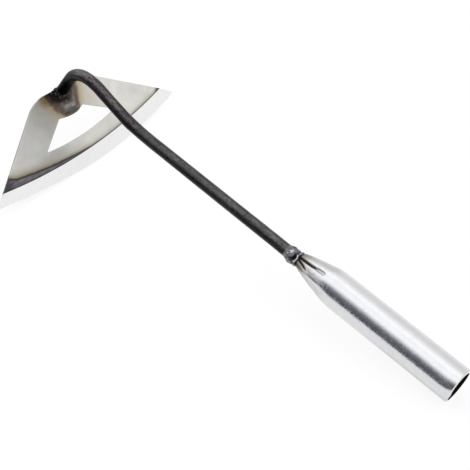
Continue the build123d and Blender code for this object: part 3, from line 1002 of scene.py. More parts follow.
def make_neck_weld(mat):
    """Low fillet, washed on to the rod and the ridge, with a nib and a few drops on its left."""
    axes = (EP, EY, EN)
    # where the rod's axis is at height n over the sheet
    track = []
    for x, z, a, s in rod_points(0.75):
        if 225.0 < s < 243.0:
            p_, n_ = (x - BLADE_X) * cos(TH) - z * sin(TH), (x - BLADE_X) * sin(TH) + z * cos(TH)
            track.append((n_, p_))
    track.sort()

    def axis_p(n):
        for (n0, p0), (n1, p1) in zip(track, track[1:]):
            if n <= n1:
                return p0 + (p1 - p0) * (n - n0) / (n1 - n0)
        return track[-1][1]

    def shape(deg):
        """(reach over the sheet, rise up the rod) in direction deg: 0 down the blade, 90 to the right."""
        tab = [(0, 3.0, 2.6), (40, 3.2, 3.4), (75, 3.4, 4.6), (105, 2.8, 4.4), (135, 1.4, 2.6), (165, 0.5, 1.2), (195, 0.4, 0.9),
               (225, 1.3, 0.9), (255, 2.6, 1.1), (285, 3.0, 1.5), (320, 3.1, 2.0), (360, 3.0, 2.6)]
        for (a0, w0, h0), (a1, w1, h1) in zip(tab, tab[1:]):
            if deg <= a1:
                t = sstep(a0, a1, deg)
                return w0 + (w1 - w0) * t, h0 + (h1 - h0) * t

    k, rows = 96, 12
    rr = 3.86
    verts, faces = [], []
    for j in range(k):
        deg = 360.0 * j / k
        f = radians(deg)
        w, h = shape(deg)
        lump = noise.noise(Vector((cos(f) * 2.1, sin(f) * 2.1, 7.3)))
        w, h = w * (1 + 0.25 * lump), h * (1 + 0.2 * lump)
        pc = axis_p(4.0)
        col = []
        out_r = rr + w
        if cos(f) < -0.05:
            out_r = min(out_r, max(rr + 0.12, (pc - TOP_P - 0.15) / -cos(f)))
        po, qo = pc + out_r * cos(f), out_r * sin(f)
        no = front(max(po, TOP_P), qo) - 0.12
        pi_, qi = pc + rr * cos(f), rr * sin(f)
        ni = front(max(pi_, TOP_P), qi) + h
        for i in range(rows + 1):
            t = pi / 2 * i / rows
            n_ = no + (ni - no) * (1 - cos(t)) ** 1.0
            r_ = rr + (out_r - rr) * (1 - sin(t))
            c = axis_p(n_)
            col.append((c + r_ * cos(f), r_ * sin(f), n_ + 0.18 * lump * sin(2 * t)))
        col.append((axis_p(ni - 0.2) + 3.0 * cos(f), 3.0 * sin(f), ni - 0.3))
        col.append((axis_p(1.5) + 3.0 * cos(f), 3.0 * sin(f), 1.5))
        col.append((pc + (out_r - 0.3) * cos(f), (out_r - 0.3) * sin(f), no - 1.3))
        verts += [B(*c) for c in col]
    m = rows + 4
    for j in range(k):
        j2 = (j + 1) % k
        for i in range(m):
            i2 = (i + 1) % m
            faces.append((j * m + i, j2 * m + i, j2 * m + i2, j * m + i2))
    blobs = []

    def blob(p, q, n, rp, rq, rn):
        blobs.append((B(p, q, n), (rp * 0.001, rq * 0.001, rn * 0.001), axes))

    # nib and drops on the left, run-out in front
    blob(28.7, -5.6, 3.2, 1.0, 1.5, 0.85)
    blob(28.5, -7.6, 3.4, 0.85, 1.15, 1.0)
    blob(30.6, -5.2, 4.0, 1.3, 1.1, 0.75)
    blob(33.6, -3.9, 4.55, 1.2, 1.4, 0.75)
    blob(35.6, -1.6, 4.6, 1.1, 1.3, 0.65)
    blob(36.4, 1.4, 4.45, 1.0, 1.1, 0.55)
    blob(32.2, -5.6, 3.9, 0.9, 0.9, 0.7)
    # a short bead across the back, under the rod
    for i in range(5):
        q = -5.6 + 2.8 * i
        blob(28.4 - (0.0 if abs(q) > 4 else 0.5), q, 2.9 if abs(q) > 4 else 1.6, 1.1, 1.6, 1.2)
    ob = blob_mesh(blobs, "neck_weld_bead", mat, 0.00024, 0.00020, 800.0, 3.0, more=(verts, faces))
    return ob


def make_rear(mat, sg, name):
    blobs = []
    axes = (EP, EY, EN)
    k = 8
    for i in range(k):
        p = 39.3 + 5.6 * i / (k - 1)
        j = noise.noise(Vector((i * 2.3, sg * 5.0, 1.3)))
        s = 1.5 + 0.22 * j
        blobs.append((B(p, sg * (4.35 + 0.15 * j), -1.45 + 0.1 * j), (s * 0.001, s * 0.001, s * 0.001), axes))
    return blob_mesh(blobs, name, mat, 0.00026, 0.0002, 800.0, 11.0 * sg)


# ------------------------------------------------------------------------------------------------
# materials
def mat_blade():
    m = Mat("blade_steel_heat_tinted")
    d, (p, q, n) = m.blade_axes()
    oc = d
    aq = m.math("ABSOLUTE", q)
    big = m.tex(oc, 35.0, 3, 0.55)                     # slow variation
    mid = m.tex(oc, 160.0, 4, 0.6)
    fine = m.tex(oc, 900.0, 3, 0.6)
    jag = m.math("SUBTRACT", m.tex(oc, 260.0, 4, 0.6), 0.5)
    slow = m.math("SUBTRACT", big, 0.5)

    # bare sheet: satin grey, duller towards the neck and on the left arm
    dp0 = m.math("SUBTRACT", p, 36.0)
    far = m.math("SQRT", m.math("ADD", m.math("MULTIPLY", dp0, dp0), m.math("MULTIPLY", q, q)))
    far = m.math("ADD", far, m.math("MULTIPLY", slow, 18.0))
    clean = m.step(12.0, 42.0, far)
    sheet = m.mix(clean, (0.500, 0.475, 0.425), (0.665, 0.655, 0.635))
    left_dull = m.step(4.0, -20.0, m.math("ADD", q, m.math("MULTIPLY", slow, 14.0)))
    sheet = m.mix(left_dull, sheet, m.vmath("MULTIPLY", sheet, (0.77, 0.78, 0.79)))
    cloud = m.math("ADD", m.math("MULTIPLY", big, 0.6), m.math("MULTIPLY", mid, 0.4))
    sheet = m.vmath("SCALE", sheet)
    sheet.node.inputs["Scale"].default_value = 1.0
    m.put(sheet.node.inputs["Scale"], m.lerp(cloud, 0.35, 0.65, 0.895, 1.09))
    hue = m.tex(oc, 75.0, 2, 0.5, 0.3)
    sheet = m.vmath("MULTIPLY", sheet, m.ramp(hue, [(0.36, (1.0, 0.985, 0.975)), (0.50, (0.99, 0.99, 0.98)), (0.64, (0.985, 0.995, 0.955))]))

    # distance outside the ridge's foot, mm; the heat colours follow it
    w = m.math("MULTIPLY_ADD", p, (RW1 - RW0) / (RIM_P - TOP_P), RW0 - TOP_P * (RW1 - RW0) / (RIM_P - TOP_P))
    h = m.math("SUBTRACT", aq, w)
    h = m.math("ADD", h, m.math("MULTIPLY", jag, 1.8))
    h = m.math("ADD", h, m.math("MULTIPLY", slow, 2.0))
    h = m.math("ADD", h, m.math("MULTIPLY", m.math("MULTIPLY", m.step(38.5, 47.5, p), m.step(-3.0, -0.3, h)), 2.1))
    h = m.math("SUBTRACT", h, m.math("MULTIPLY", m.math("MULTIPLY", m.step(40.0, 33.0, p), m.step(4.0, 8.0, q)), 1.3))
    hn = m.lerp(h, -13.0, 15.0, 0.0, 1.0)

    def at(mm):
        return (mm + 13.0) / 28.0

    tint = m.ramp(hn, [
        (at(-12.5), (0.082, 0.080, 0.073)), (at(-9.0), (0.106, 0.099, 0.095)), (at(-5.2), (0.160, 0.133, 0.134)),
        (at(-2.6), (0.122, 0.092, 0.077)), (at(-0.6), (0.185, 0.138, 0.100)), (at(0.5), (0.27, 0.205, 0.146)),
        (at(1.6), (0.385, 0.325, 0.225)), (at(3.0), (0.44, 0.38, 0.28)), (at(6.5), (0.51, 0.475, 0.40)), (at(10.0), (0.52, 0.50, 0.455))])
    duller = m.math("MULTIPLY", left_dull, m.step(-2.0, 1.5, h))
    tint = m.mix(duller, tint, m.vmath("MULTIPLY", tint, (0.72, 0.71, 0.72)))
    # a paler patch across the crest, partly heat tint and partly a painted highlight, then dark again at the rim
    jp = m.math("ADD", p, m.math("MULTIPLY", jag, 5.0))
    pale = m.math("MULTIPLY", m.step(39.0, 41.0, jp), m.step(43.6, 41.9, jp))
    pale = m.math("MULTIPLY", pale, m.step(5.5, 2.5, aq))
    tint = m.mix(m.math("MULTIPLY", pale, 0.85), tint, (0.235, 0.236, 0.222))

    def dab(col, p0, q0, rp, rq, colour, strength):
        """A soft-edged, ragged spot of colour at (p0, q0)."""
        a_ = m.math("DIVIDE", m.math("SUBTRACT", p, p0), rp)
        b_ = m.math("DIVIDE", m.math("SUBTRACT", q, q0), rq)
        d_ = m.math("SQRT", m.math("ADD", m.math("MULTIPLY", a_, a_), m.math("MULTIPLY", b_, b_)))
        d_ = m.math("ADD", d_, m.math("MULTIPLY", jag, 1.1))
        return m.mix(m.math("MULTIPLY", m.step(1.35, 0.45, d_), strength), col, colour)

    tint = dab(tint, 39.2, 0.6, 1.0, 2.6, (0.090, 0.088, 0.072), 0.6)
    # painted highlight: the next two pale grey dabs on the crest
    tint = dab(tint, 42.3, 1.9, 0.55, 1.3, (0.40, 0.38, 0.38), 0.7)
    tint = dab(tint, 40.6, -2.6, 0.8, 1.2, (0.29, 0.295, 0.28), 0.6)
    tint = dab(tint, 38.2, 4.9, 2.0, 1.3, (0.235, 0.190, 0.190), 0.6)
    tint = dab(tint, 35.4, 8.0, 1.8, 1.4, (0.200, 0.165, 0.150), 0.5)
    tint = dab(tint, 43.4, -3.9, 1.4, 1.0, (0.125, 0.105, 0.110), 0.6)
    tint = dab(tint, 38.2, -9.2, 4.0, 1.5, (0.088, 0.066, 0.050), 0.62)
    tint = dab(tint, 42.0, -7.2, 2.6, 1.0, (0.105, 0.080, 0.062), 0.5)
    tint = dab(tint, 40.6, -6.2, 3.0, 1.5, (0.094, 0.082, 0.078), 0.5)
    tint = dab(tint, 42.0, 7.0, 2.4, 1.3, (0.175, 0.118, 0.092), 0.55)
    rimdark = m.math("MULTIPLY", m.step(42.8, 44.6, p), m.step(-1.6, -4.0, h))
    tint = m.mix(m.math("MULTIPLY", rimdark, 0.65), tint, (0.086, 0.080, 0.088))
    tint = dab(tint, 46.3, 0.6, 0.7, 4.6, (0.050, 0.045, 0.053), 0.7)
    tint = dab(tint, 45.0, 5.2, 0.9, 1.7, (0.27, 0.21, 0.185), 0.7)
    tint = dab(tint, 45.2, -3.9, 0.9, 1.6, (0.050, 0.040, 0.034), 0.7)
    reach = m.step(11.5, 4.0, h)
    # the colours stop short of the window's sides
    reach = m.math("MULTIPLY", reach, m.step(54.0, 45.0, p))
    col = m.mix(reach, sheet, tint)
    # burnt black round the weld, further to the left than to the right
    bp = m.math("DIVIDE", m.math("SUBTRACT", p, 30.0), 7.0)
    lean = m.math("MULTIPLY", m.math("MULTIPLY", m.math("SUBTRACT", p, 32.0), -0.42), m.step(-3.0, -6.0, q))
    bq = m.math("DIVIDE", m.math("ADD", m.math("ADD", q, 3.3), lean), 9.2)
    dist = m.math("SQRT", m.math("ADD", m.math("MULTIPLY", bp, bp), m.math("MULTIPLY", bq, bq)))
    dist = m.math("ADD", dist, m.math("MULTIPLY", jag, 0.85))
    burnt = m.step(1.48, 0.80, dist)
    soot = m.ramp(m.lerp(dist, 0.0, 1.4, 0.0, 1.0), [(0.25, (0.009, 0.009, 0.009)), (0.55, (0.015, 0.0135, 0.012)), (0.78, (0.032, 0.023, 0.020)), (1.0, (0.058, 0.039, 0.028))])
    col = m.mix(burnt, col, soot)
    # and up the right flank, beside the rod: weld burn, and painted shade in the corner where the rod meets the ridge
    fp = m.math("DIVIDE", m.math("SUBTRACT", p, 28.6), 4.6)
    fq = m.math("DIVIDE", m.math("SUBTRACT", q, 5.0), 6.0)
    fd = m.math("SQRT", m.math("ADD", m.math("MULTIPLY", fp, fp), m.math("MULTIPLY", fq, fq)))
    fd = m.math("ADD", fd, m.math("MULTIPLY", jag, 0.4))
    col = m.mix(m.math("MULTIPLY", m.step(1.25, 0.55, fd), 0.88), col, (0.014, 0.012, 0.012))
    col = dab(col, 36.9, 0.9, 1.3, 2.6, (0.030, 0.024, 0.017), 0.8)
    col = dab(col, 31.8, -10.4, 3.4, 1.2, (0.066, 0.043, 0.032), 0.75)
    col = dab(col, 33.6, -5.6, 1.6, 1.8, (0.014, 0.014, 0.012), 0.7)
    # a brown lick beyond it on the left
    lp = m.math("DIVIDE", m.math("SUBTRACT", p, 31.0), 4.5)
    lq = m.math("DIVIDE", m.math("ADD", q, 14.4), 2.7)
    lick = m.math("SQRT", m.math("ADD", m.math("MULTIPLY", lp, lp), m.math("MULTIPLY", lq, lq)))
    lick = m.step(1.5, 0.5, m.math("ADD", lick, m.math("MULTIPLY", jag, 0.6)))
    col = m.mix(m.math("MULTIPLY", lick, 0.62), col, (0.235, 0.168, 0.092))

    # duller where the bar below the window narrows
    sp = m.math("DIVIDE", m.math("SUBTRACT", p, 65.0), 4.5)
    sq = m.math("DIVIDE", m.math("SUBTRACT", q, -27.0), 13.0)
    sd = m.math("SQRT", m.math("ADD", m.math("MULTIPLY", sp, sp), m.math("MULTIPLY", sq, sq)))
    col = m.mix(m.math("MULTIPLY", m.step(1.3, 0.3, m.math("ADD", sd, m.math("MULTIPLY", slow, 0.8))), 0.85), col, m.vmath("MULTIPLY", col, (0.80, 0.79, 0.765)))

    # band along the grind line that the quench left dark: wide at the left tip, a hair past the middle
    dpc = m.math("SUBTRACT", p, GRIND_P - GRIND_R)
    dqc = m.math("SUBTRACT", q, GRIND_Q)
    rho = m.math("SQRT", m.math("ADD", m.math("MULTIPLY", dpc, dpc), m.math("MULTIPLY", dqc, dqc)))
    g = m.math("SUBTRACT", GRIND_R, rho)                # mm inside the grind line
    left = m.math("MAXIMUM", m.lerp(q, 5.0, -60.0, 0.0, 1.0), 0.0)
    right = m.math("POWER", m.math("MAXIMUM", m.lerp(q, 62.5, 70.0, 0.0, 1.0), 0.0), 1.4)
    width = m.math("ADD", m.math("MULTIPLY_ADD", m.math("POWER", left, 1.20), 5.05, 0.45), m.math("MULTIPLY", right, 3.2))
    width = m.math("ADD", width, m.math("MULTIPLY", m.step(-58.2, -62.5, q), 1.6))
    e = m.math("SUBTRACT", g, width)
    e = m.math("ADD", e, m.math("MULTIPLY", jag, 0.9))
    halo_w = m.lerp(q, 10.0, -45.0, 0.0, 1.0)
    halo = m.math("MULTIPLY", m.step(7.5, 0.6, e), m.math("MULTIPLY_ADD", halo_w, 0.60, 0.18))
    fringe = m.math("MULTIPLY", m.step(3.2, 0.3, e), m.math("MULTIPLY_ADD", halo_w, 0.40, 0.40))
    dark = m.step(0.75, -0.25, e)
    rimline = m.math("MULTIPLY", m.step(0.95, 0.2, e), m.step(-1.3, -0.3, e))
    line = m.step(1.25, 0.15, g)
    col = m.mix(halo, col, (0.315, 0.285, 0.215))
    col = m.mix(fringe, col, (0.228, 0.198, 0.146))
    # inside it: plum and blue, streaked along the edge
    st = m.node("ShaderNodeCombineXYZ")
    m.put(st.inputs[0], m.math("MULTIPLY", rho, 0.9))
    m.put(st.inputs[1], m.math("MULTIPLY", q, 0.10))
    m.put(st.inputs[2], 3.0)
    streak = m.tex(st.outputs[0], 1.0, 3, 0.6)
    inband = m.ramp(m.math("ADD", m.math("MULTIPLY", mid, 0.45), m.math("MULTIPLY", streak, 0.55)), [
        (0.37, (0.070, 0.063, 0.071)), (0.49, (0.125, 0.113, 0.123)), (0.60, (0.180, 0.172, 0.198))])
    tipdark = m.math("MAXIMUM", m.step(-59.0, -66.0, q), m.step(62.0, 68.0, q))
    inband = m.mix(m.math("MULTIPLY", tipdark, 0.85), inband, (0.048, 0.044, 0.056))
    col = m.mix(m.math("MULTIPLY", dark, m.lerp(q, 14.0, -6.0, 0.25, 0.97)), col, inband)
    col = m.mix(m.math("MULTIPLY", m.math("MULTIPLY", dark, tipdark), 0.9), col, inband)
    col = m.mix(m.math("MULTIPLY", rimline, m.lerp(q, 14.0, -22.0, 0.25, 0.90)), col, (0.058, 0.048, 0.040))
    col = m.mix(m.math("MULTIPLY", line, m.lerp(q, 16.0, -4.0, 0.72, 0.92)), col, m.mix(m.step(-12.0, -28.0, q), (0.072, 0.060, 0.053), (0.036, 0.034, 0.041)))

    # the ground bevel: bare, white and coarse
    ground = m.step(0.06, -0.10, m.math("ADD", g, m.math("MULTIPLY", jag, 0.12)))
    onfront = m.step(-2.46, -2.30, n)
    ground = m.math("MULTIPLY", ground, onfront)
    ang = m.math("ARCTAN2", dqc, dpc)
    scr = m.node("ShaderNodeCombineXYZ")
    m.put(scr.inputs[0], m.math("MULTIPLY", ang, GRIND_R))
    m.put(scr.inputs[1], m.math("MULTIPLY", rho, 0.06))
    m.put(scr.inputs[2], 0.0)
    lines = m.tex(scr.outputs[0], 3.2, 4, 0.7)
    bevel_col = m.mix(lines, (0.77, 0.775, 0.77), (0.92, 0.925, 0.92))
    col = m.mix(ground, col, bevel_col)
    m.link(col, m.bsdf.inputs["Base Color"])
    m.bsdf.inputs["Metallic"].default_value = 1.0
    r = m.math("ADD", m.lerp(mid, 0.3, 0.7, 0.34, 0.43), m.math("MULTIPLY", m.math("SUBTRACT", fine, 0.5), 0.10))
    r = m.math("ADD", r, m.math("MULTIPLY", m.math("MAXIMUM", burnt, dark), 0.08))
    r = m.math("ADD", r, m.math("MULTIPLY", ground, 0.12))
    m.link(r, m.bsdf.inputs["Roughness"])
    # rolled-sheet grain, pitting near the weld, grinding lines on the bevel
    grain = m.tex(oc, 1.0, 3, 0.6, stretch=(500.0, 2200.0, 500.0))
    hgt = m.math("ADD", m.math("MULTIPLY", grain, 0.35), m.math("MULTIPLY", fine, 0.35))
    hgt = m.math("ADD", hgt, m.math("MULTIPLY", mid, m.math("MULTIPLY_ADD", burnt, 2.5, 0.5)))
    hgt = m.math("ADD", hgt, m.math("MULTIPLY", m.math("MULTIPLY", lines, ground), 1.2))
    m.link(m.bump(hgt, 0.00006, 0.5), m.bsdf.inputs["Normal"])
    return m.m


def mat_edge():
    """The sheared edge of the sheet: a burnished strip above a torn, duller one."""
    m = Mat("blade_sheared_edge")
    d, (p, q, n) = m.blade_axes()
    mid = m.tex(d, 260.0, 4, 0.6)
    tear = m.math("SUBTRACT", m.tex(d, 420.0, 3, 0.6), 0.5)
    low = m.step(-1.0, -1.5, m.math("ADD", n, m.math("MULTIPLY", tear, 0.7)))
    col = m.mix(m.math("MULTIPLY", low, 0.6), m.mix(mid, (0.50, 0.495, 0.47), (0.60, 0.595, 0.57)), (0.34, 0.325, 0.30))
    # burnt by the weld at the neck, dark at the tips
    bp = m.math("DIVIDE", m.math("SUBTRACT", p, 30.0), 7.0)
    bq = m.math("DIVIDE", m.math("ADD", q, 3.5), 9.5)
    dist = m.math("SQRT", m.math("ADD", m.math("MULTIPLY", bp, bp), m.math("MULTIPLY", bq, bq)))
    aq = m.math("ABSOLUTE", q)
    arm = m.math("MULTIPLY", m.step(-18.0, -24.0, q), m.step(60.0, 50.0, p))
    col = m.mix(m.math("MULTIPLY", arm, 0.60), col, (0.285, 0.265, 0.270))
    tips = m.math("MULTIPLY", m.step(58.8, 60.0, p), m.step(67.6, 66.9, p))
    tips = m.math("MULTIPLY", tips, m.step(56.0, 59.0, aq))
    col = m.mix(m.math("MULTIPLY", m.step(66.9, 67.8, p), m.step(56.0, 59.0, aq)), col, (0.82, 0.82, 0.82))
    col = m.mix(m.math("MULTIPLY", tips, 0.95), col, (0.045, 0.038, 0.042))
    rim = m.math("MULTIPLY", m.step(11.0, 7.0, aq), m.step(52.0, 50.0, p))
    col = m.mix(m.math("MULTIPLY", rim, 0.85), col, (0.12, 0.105, 0.095))
    col = m.mix(m.step(1.5, 0.85, m.math("ADD", dist, m.math("MULTIPLY", tear, 0.3))), col, (0.016, 0.014, 0.013))
    m.link(col, m.bsdf.inputs["Base Color"])
    m.bsdf.inputs["Metallic"].default_value = 1.0
    m.link(m.math("ADD", m.lerp(mid, 0.3, 0.7, 0.36, 0.48), m.math("MULTIPLY", low, 0.12)), m.bsdf.inputs["Roughness"])
    hg = m.math("ADD", mid, m.math("MULTIPLY", m.tex(d, 1800.0, 3, 0.6), 0.5))
    m.link(m.bump(hg, 0.00008, 0.6), m.bsdf.inputs["Normal"])
    return m.m


def mat_rod():
    m = Mat("rod_mill_scale")
    f = m.attr()
    sx = m.node("ShaderNodeSeparateXYZ")
    m.link(f, sx.inputs[0])
    s = m.math("MULTIPLY", sx.outputs[0], 1000.0)      # mm along the rod from its end in the tube
    phi = m.math("MULTIPLY", m.math("ARCTAN2", sx.outputs[1], sx.outputs[2]), 180.0 / pi)
    blotch = m.tex(f, 110.0, 4, 0.6, 0.4, stretch=(0.45, 1.0, 1.0))
    speck = m.tex(f, 720.0, 4, 0.65, stretch=(0.42, 1.0, 1.0))
    grit = m.tex(f, 1150.0, 3, 0.65, stretch=(0.7, 1.0, 1.0))
    fine = m.tex(f, 2600.0, 3, 0.6)
    col = m.ramp(blotch, [(0.28, (0.064, 0.061, 0.062)), (0.45, (0.079, 0.076, 0.077)), (0.58, (0.090, 0.087, 0.088)), (0.75, (0.110, 0.107, 0.106))])
    # plum and brown scale where the bend was heated
    warm = m.math("MULTIPLY", m.step(136.0, 156.0, s), m.step(210.0, 198.0, s))
    col = m.mix(m.math("MULTIPLY", warm, 0.8), col, m.ramp(blotch, [(0.30, (0.054, 0.046, 0.051)), (0.50, (0.084, 0.073, 0.079)), (0.70, (0.123, 0.112, 0.114))]))
    bright = m.math("MULTIPLY", m.step(186.0, 193.0, s), m.step(207.0, 200.0, s))
    col = m.mix(m.math("MULTIPLY", bright, 0.55), col, (0.140, 0.132, 0.124))
    rust = m.step(0.57, 0.66, m.tex(f, 190.0, 3, 0.55, stretch=(0.6, 1.0, 1.0)))
    col = m.mix(m.math("MULTIPLY", m.math("MULTIPLY", rust, warm), 0.5), col, (0.095, 0.058, 0.062))
    # fine speckle: scale flaked off here and there
    k1 = m.math("MULTIPLY", m.math("SUBTRACT", grit, 0.5), m.math("MULTIPLY_ADD", warm, 0.9, 2.4))
    k2 = m.math("MULTIPLY", m.math("SUBTRACT", speck, 0.5), m.math("MULTIPLY_ADD", warm, 0.5, 1.8))
    gain = m.math("MAXIMUM", m.math("ADD", 1.0, m.math("ADD", k1, k2)), 0.25)
    sc = m.node("ShaderNodeVectorMath", operation="SCALE")
    m.link(col, sc.inputs[0])
    m.link(gain, sc.inputs["Scale"])
    col = sc.outputs[0]
    worn = m.step(0.62, 0.74, speck)
    col = m.mix(m.math("MULTIPLY", worn, m.math("MULTIPLY_ADD", warm, 0.04, 0.26)), col, (0.23, 0.22, 0.215))
    # painted shade: the underside darkened almost to black; the far side darker too
    edge = m.math("ADD", phi, m.math("MULTIPLY", m.math("SUBTRACT", blotch, 0.5), 10.0))
    under = m.math("MULTIPLY", m.step(-49.0, -63.0, edge), m.step(-172.0, -150.0, edge))
    under = m.math("MULTIPLY", under, m.math("MULTIPLY_ADD", warm, 0.09, 0.85))
    col = m.mix(under, col, (0.010, 0.009, 0.009))
    off = m.math("MULTIPLY", m.step(4.0, 16.0, edge), m.step(195.0, 184.0, s))
    col = m.mix(m.math("MULTIPLY", off, m.math("MULTIPLY_ADD", warm, 0.16, 0.34)), col, (0.022, 0.020, 0.020))
    off2 = m.math("MULTIPLY", m.math("MULTIPLY", m.step(-18.0, 2.0, edge), m.step(194.0, 182.0, s)), warm)
    col = m.mix(m.math("MULTIPLY", off2, 0.24), col, (0.022, 0.019, 0.020))
    # blackened by the welding near the blade
    hot = m.step(198.0, 209.0, m.math("ADD", s, m.math("MULTIPLY", m.math("SUBTRACT", blotch, 0.5), 8.0)))
    near = m.step(14.0, -12.0, edge)
    col = m.mix(m.math("MULTIPLY", hot, m.math("MULTIPLY_ADD", near, 0.34, 0.50)), col, (0.010, 0.010, 0.0095))
    black = m.step(204.0, 221.0, m.math("ADD", s, m.math("MULTIPLY", m.math("SUBTRACT", blotch, 0.5), 10.0)))
    col = m.mix(m.math("MULTIPLY", black, 0.92), col, m.ramp(speck, [(0.38, (0.0030, 0.0034, 0.0028)), (0.52, (0.0062, 0.0066, 0.0055)), (0.64, (0.020, 0.019, 0.016))]))
    m.link(m.mix(m.math("MAXIMUM", m.math("MULTIPLY", hot, m.math("MULTIPLY", near, 0.5)), black), (1.0, 1.0, 1.0), (0.48, 0.51, 0.50)), m.bsdf.inputs["Specular Tint"])
    col = m.mix(m.math("MULTIPLY", m.step(23.0, 17.0, s), 0.5), col, (0.05, 0.05, 0.055))
    m.link(col, m.bsdf.inputs["Base Color"])
    m.bsdf.inputs["Metallic"].default_value = 1.0
    m.link(m.math("ADD", m.lerp(blotch, 0.3, 0.7, 0.40, 0.30), m.math("MULTIPLY", m.math("SUBTRACT", speck, 0.5), 0.26)), m.bsdf.inputs["Roughness"])
    hgt = m.math("ADD", m.math("MULTIPLY", blotch, 1.0), m.math("ADD", m.math("MULTIPLY", speck, m.math("MULTIPLY_ADD", warm, 0.35, 0.55)), m.math("MULTIPLY", fine, 0.15)))
    hgt = m.math("ADD", hgt, m.math("MULTIPLY", grit, 0.25))
    m.link(m.bump(hgt, 0.00022, 0.6), m.bsdf.inputs["Normal"])
    return m.m


def mat_tube():
    m = Mat("tube_polished_steel")
    f = m.attr()
    sx = m.node("ShaderNodeSeparateXYZ")
    m.link(f, sx.inputs[0])
    x = m.math("MULTIPLY", sx.outputs[0], 1000.0)
    mot = m.tex(f, 240.0, 4, 0.6)
    grit = m.tex(f, 1300.0, 3, 0.6)
    hoop = m.tex(f, 1.0, 4, 0.65, stretch=(2600.0, 160.0, 160.0))      # fine polishing rings
    slow = m.tex(f, 40.0, 3, 0.5)
    col = m.ramp(m.math("ADD", m.math("MULTIPLY", mot, 0.5), m.math("ADD", m.math("MULTIPLY", hoop, 0.25), m.math("MULTIPLY", grit, 0.25))), [
        (0.32, (0.655, 0.656, 0.678)), (0.50, (0.695, 0.697, 0.714)), (0.68, (0.735, 0.736, 0.752))])
    # straw tint where the nose was heated, darker by the collar; the folds are darkened too, soot and painted shade
    jit = m.math("MULTIPLY", m.math("SUBTRACT", mot, 0.5), 5.0)
    nose = m.step(-97.0, -110.5, m.math("ADD", x, jit))
    col = m.mix(m.math("MULTIPLY", nose, 0.55), col, (0.50, 0.445, 0.355))
    near = m.lerp(m.math("ADD", x, m.math("MULTIPLY", jit, 0.35)), -105.2, -112.2, 0.0, 0.93)
    col = m.mix(near, col, (0.135, 0.118, 0.098))
    # the nose was not polished as far round
    turn = m.math("MULTIPLY", m.math("ARCTAN2", sx.outputs[1], sx.outputs[2]), 180.0 / pi)
    flank = m.math("MAXIMUM", m.step(-8.0, 14.0, turn), m.step(-66.0, -80.0, turn))
    flank = m.math("MULTIPLY", flank, m.step(-84.0, -93.0, m.math("ADD", x, jit)))
    col = m.mix(m.math("MULTIPLY", flank, 0.20), col, (0.10, 0.10, 0.095))
    # soot attribute: soot and painted shade down in the nose's folds
    soot = m.node("ShaderNodeAttribute", attribute_type="GEOMETRY", attribute_name="soot").outputs["Fac"]
    sv = m.math("ADD", soot, m.math("MULTIPLY", m.math("MULTIPLY", m.math("SUBTRACT", grit, 0.5), soot), 0.5), clamp=True)
    col = m.mix(sv, col, m.mix(soot, (0.085, 0.073, 0.060), (0.034, 0.027, 0.022)))
    seam = m.math("MULTIPLY", m.math("MULTIPLY", m.step(-91.0, -95.5, turn), m.step(-106.0, -101.0, turn)), m.step(-62.0, -36.0, x))
    col = m.mix(m.math("MULTIPLY", seam, 0.16), col, (0.05, 0.05, 0.052))
    m.link(col, m.bsdf.inputs["Base Color"])
    m.bsdf.inputs["Metallic"].default_value = 1.0
    fleck = m.tex(f, 1.0, 3, 0.7, stretch=(1500.0, 620.0, 620.0))     # lathe marks: short, across the tube
    cloud = m.tex(f, 420.0, 3, 0.6)
    r = m.math("ADD", m.lerp(mot, 0.3, 0.7, 0.10, 0.16), m.math("MULTIPLY", m.math("SUBTRACT", hoop, 0.5), 0.10))
    r = m.math("ADD", r, m.math("MULTIPLY", m.math("MAXIMUM", m.math("SUBTRACT", fleck, 0.46), 0.0), 0.85))
    r = m.math("ADD", r, m.math("MULTIPLY", m.math("MAXIMUM", m.math("SUBTRACT", cloud, 0.50), 0.0), 0.45))
    r = m.math("ADD", r, m.math("MULTIPLY", nose, 0.14))
    r = m.math("ADD", r, m.math("MULTIPLY", soot, 0.25))
    m.link(r, m.bsdf.inputs["Roughness"])
    hgt = m.math("ADD", m.math("MULTIPLY", hoop, 0.45), m.math("ADD", m.math("MULTIPLY", mot, 0.8), m.math("MULTIPLY", slow, 2.0)))
    hgt = m.math("ADD", hgt, m.math("MULTIPLY", m.math("ADD", grit, fleck), 1.1))
    m.link(m.bump(hgt, 0.00005, 0.6), m.bsdf.inputs["Normal"])
    return m.m


def mat_bore():
    m = Mat("tube_bore_unpolished_painted_shade")
    f = m.attr()
    n1 = m.tex(f, 300.0, 4, 0.6, stretch=(0.3, 1.0, 1.0))
    # painted shade: the bore is unpolished, and its colour is set near black to stand for the shade inside the tube
    m.link(m.ramp(n1, [(0.3, (0.0035, 0.0035, 0.003)), (0.6, (0.007, 0.0065, 0.006)), (0.8, (0.014, 0.013, 0.012))]), m.bsdf.inputs["Base Color"])
    m.bsdf.inputs["Metallic"].default_value = 0.0
    m.bsdf.inputs["Specular IOR Level"].default_value = 0.08
    m.link(m.lerp(n1, 0.3, 0.7, 0.85, 0.7), m.bsdf.inputs["Roughness"])
    m.link(m.bump(n1, 0.0001, 0.5), m.bsdf.inputs["Normal"])
    return m.m


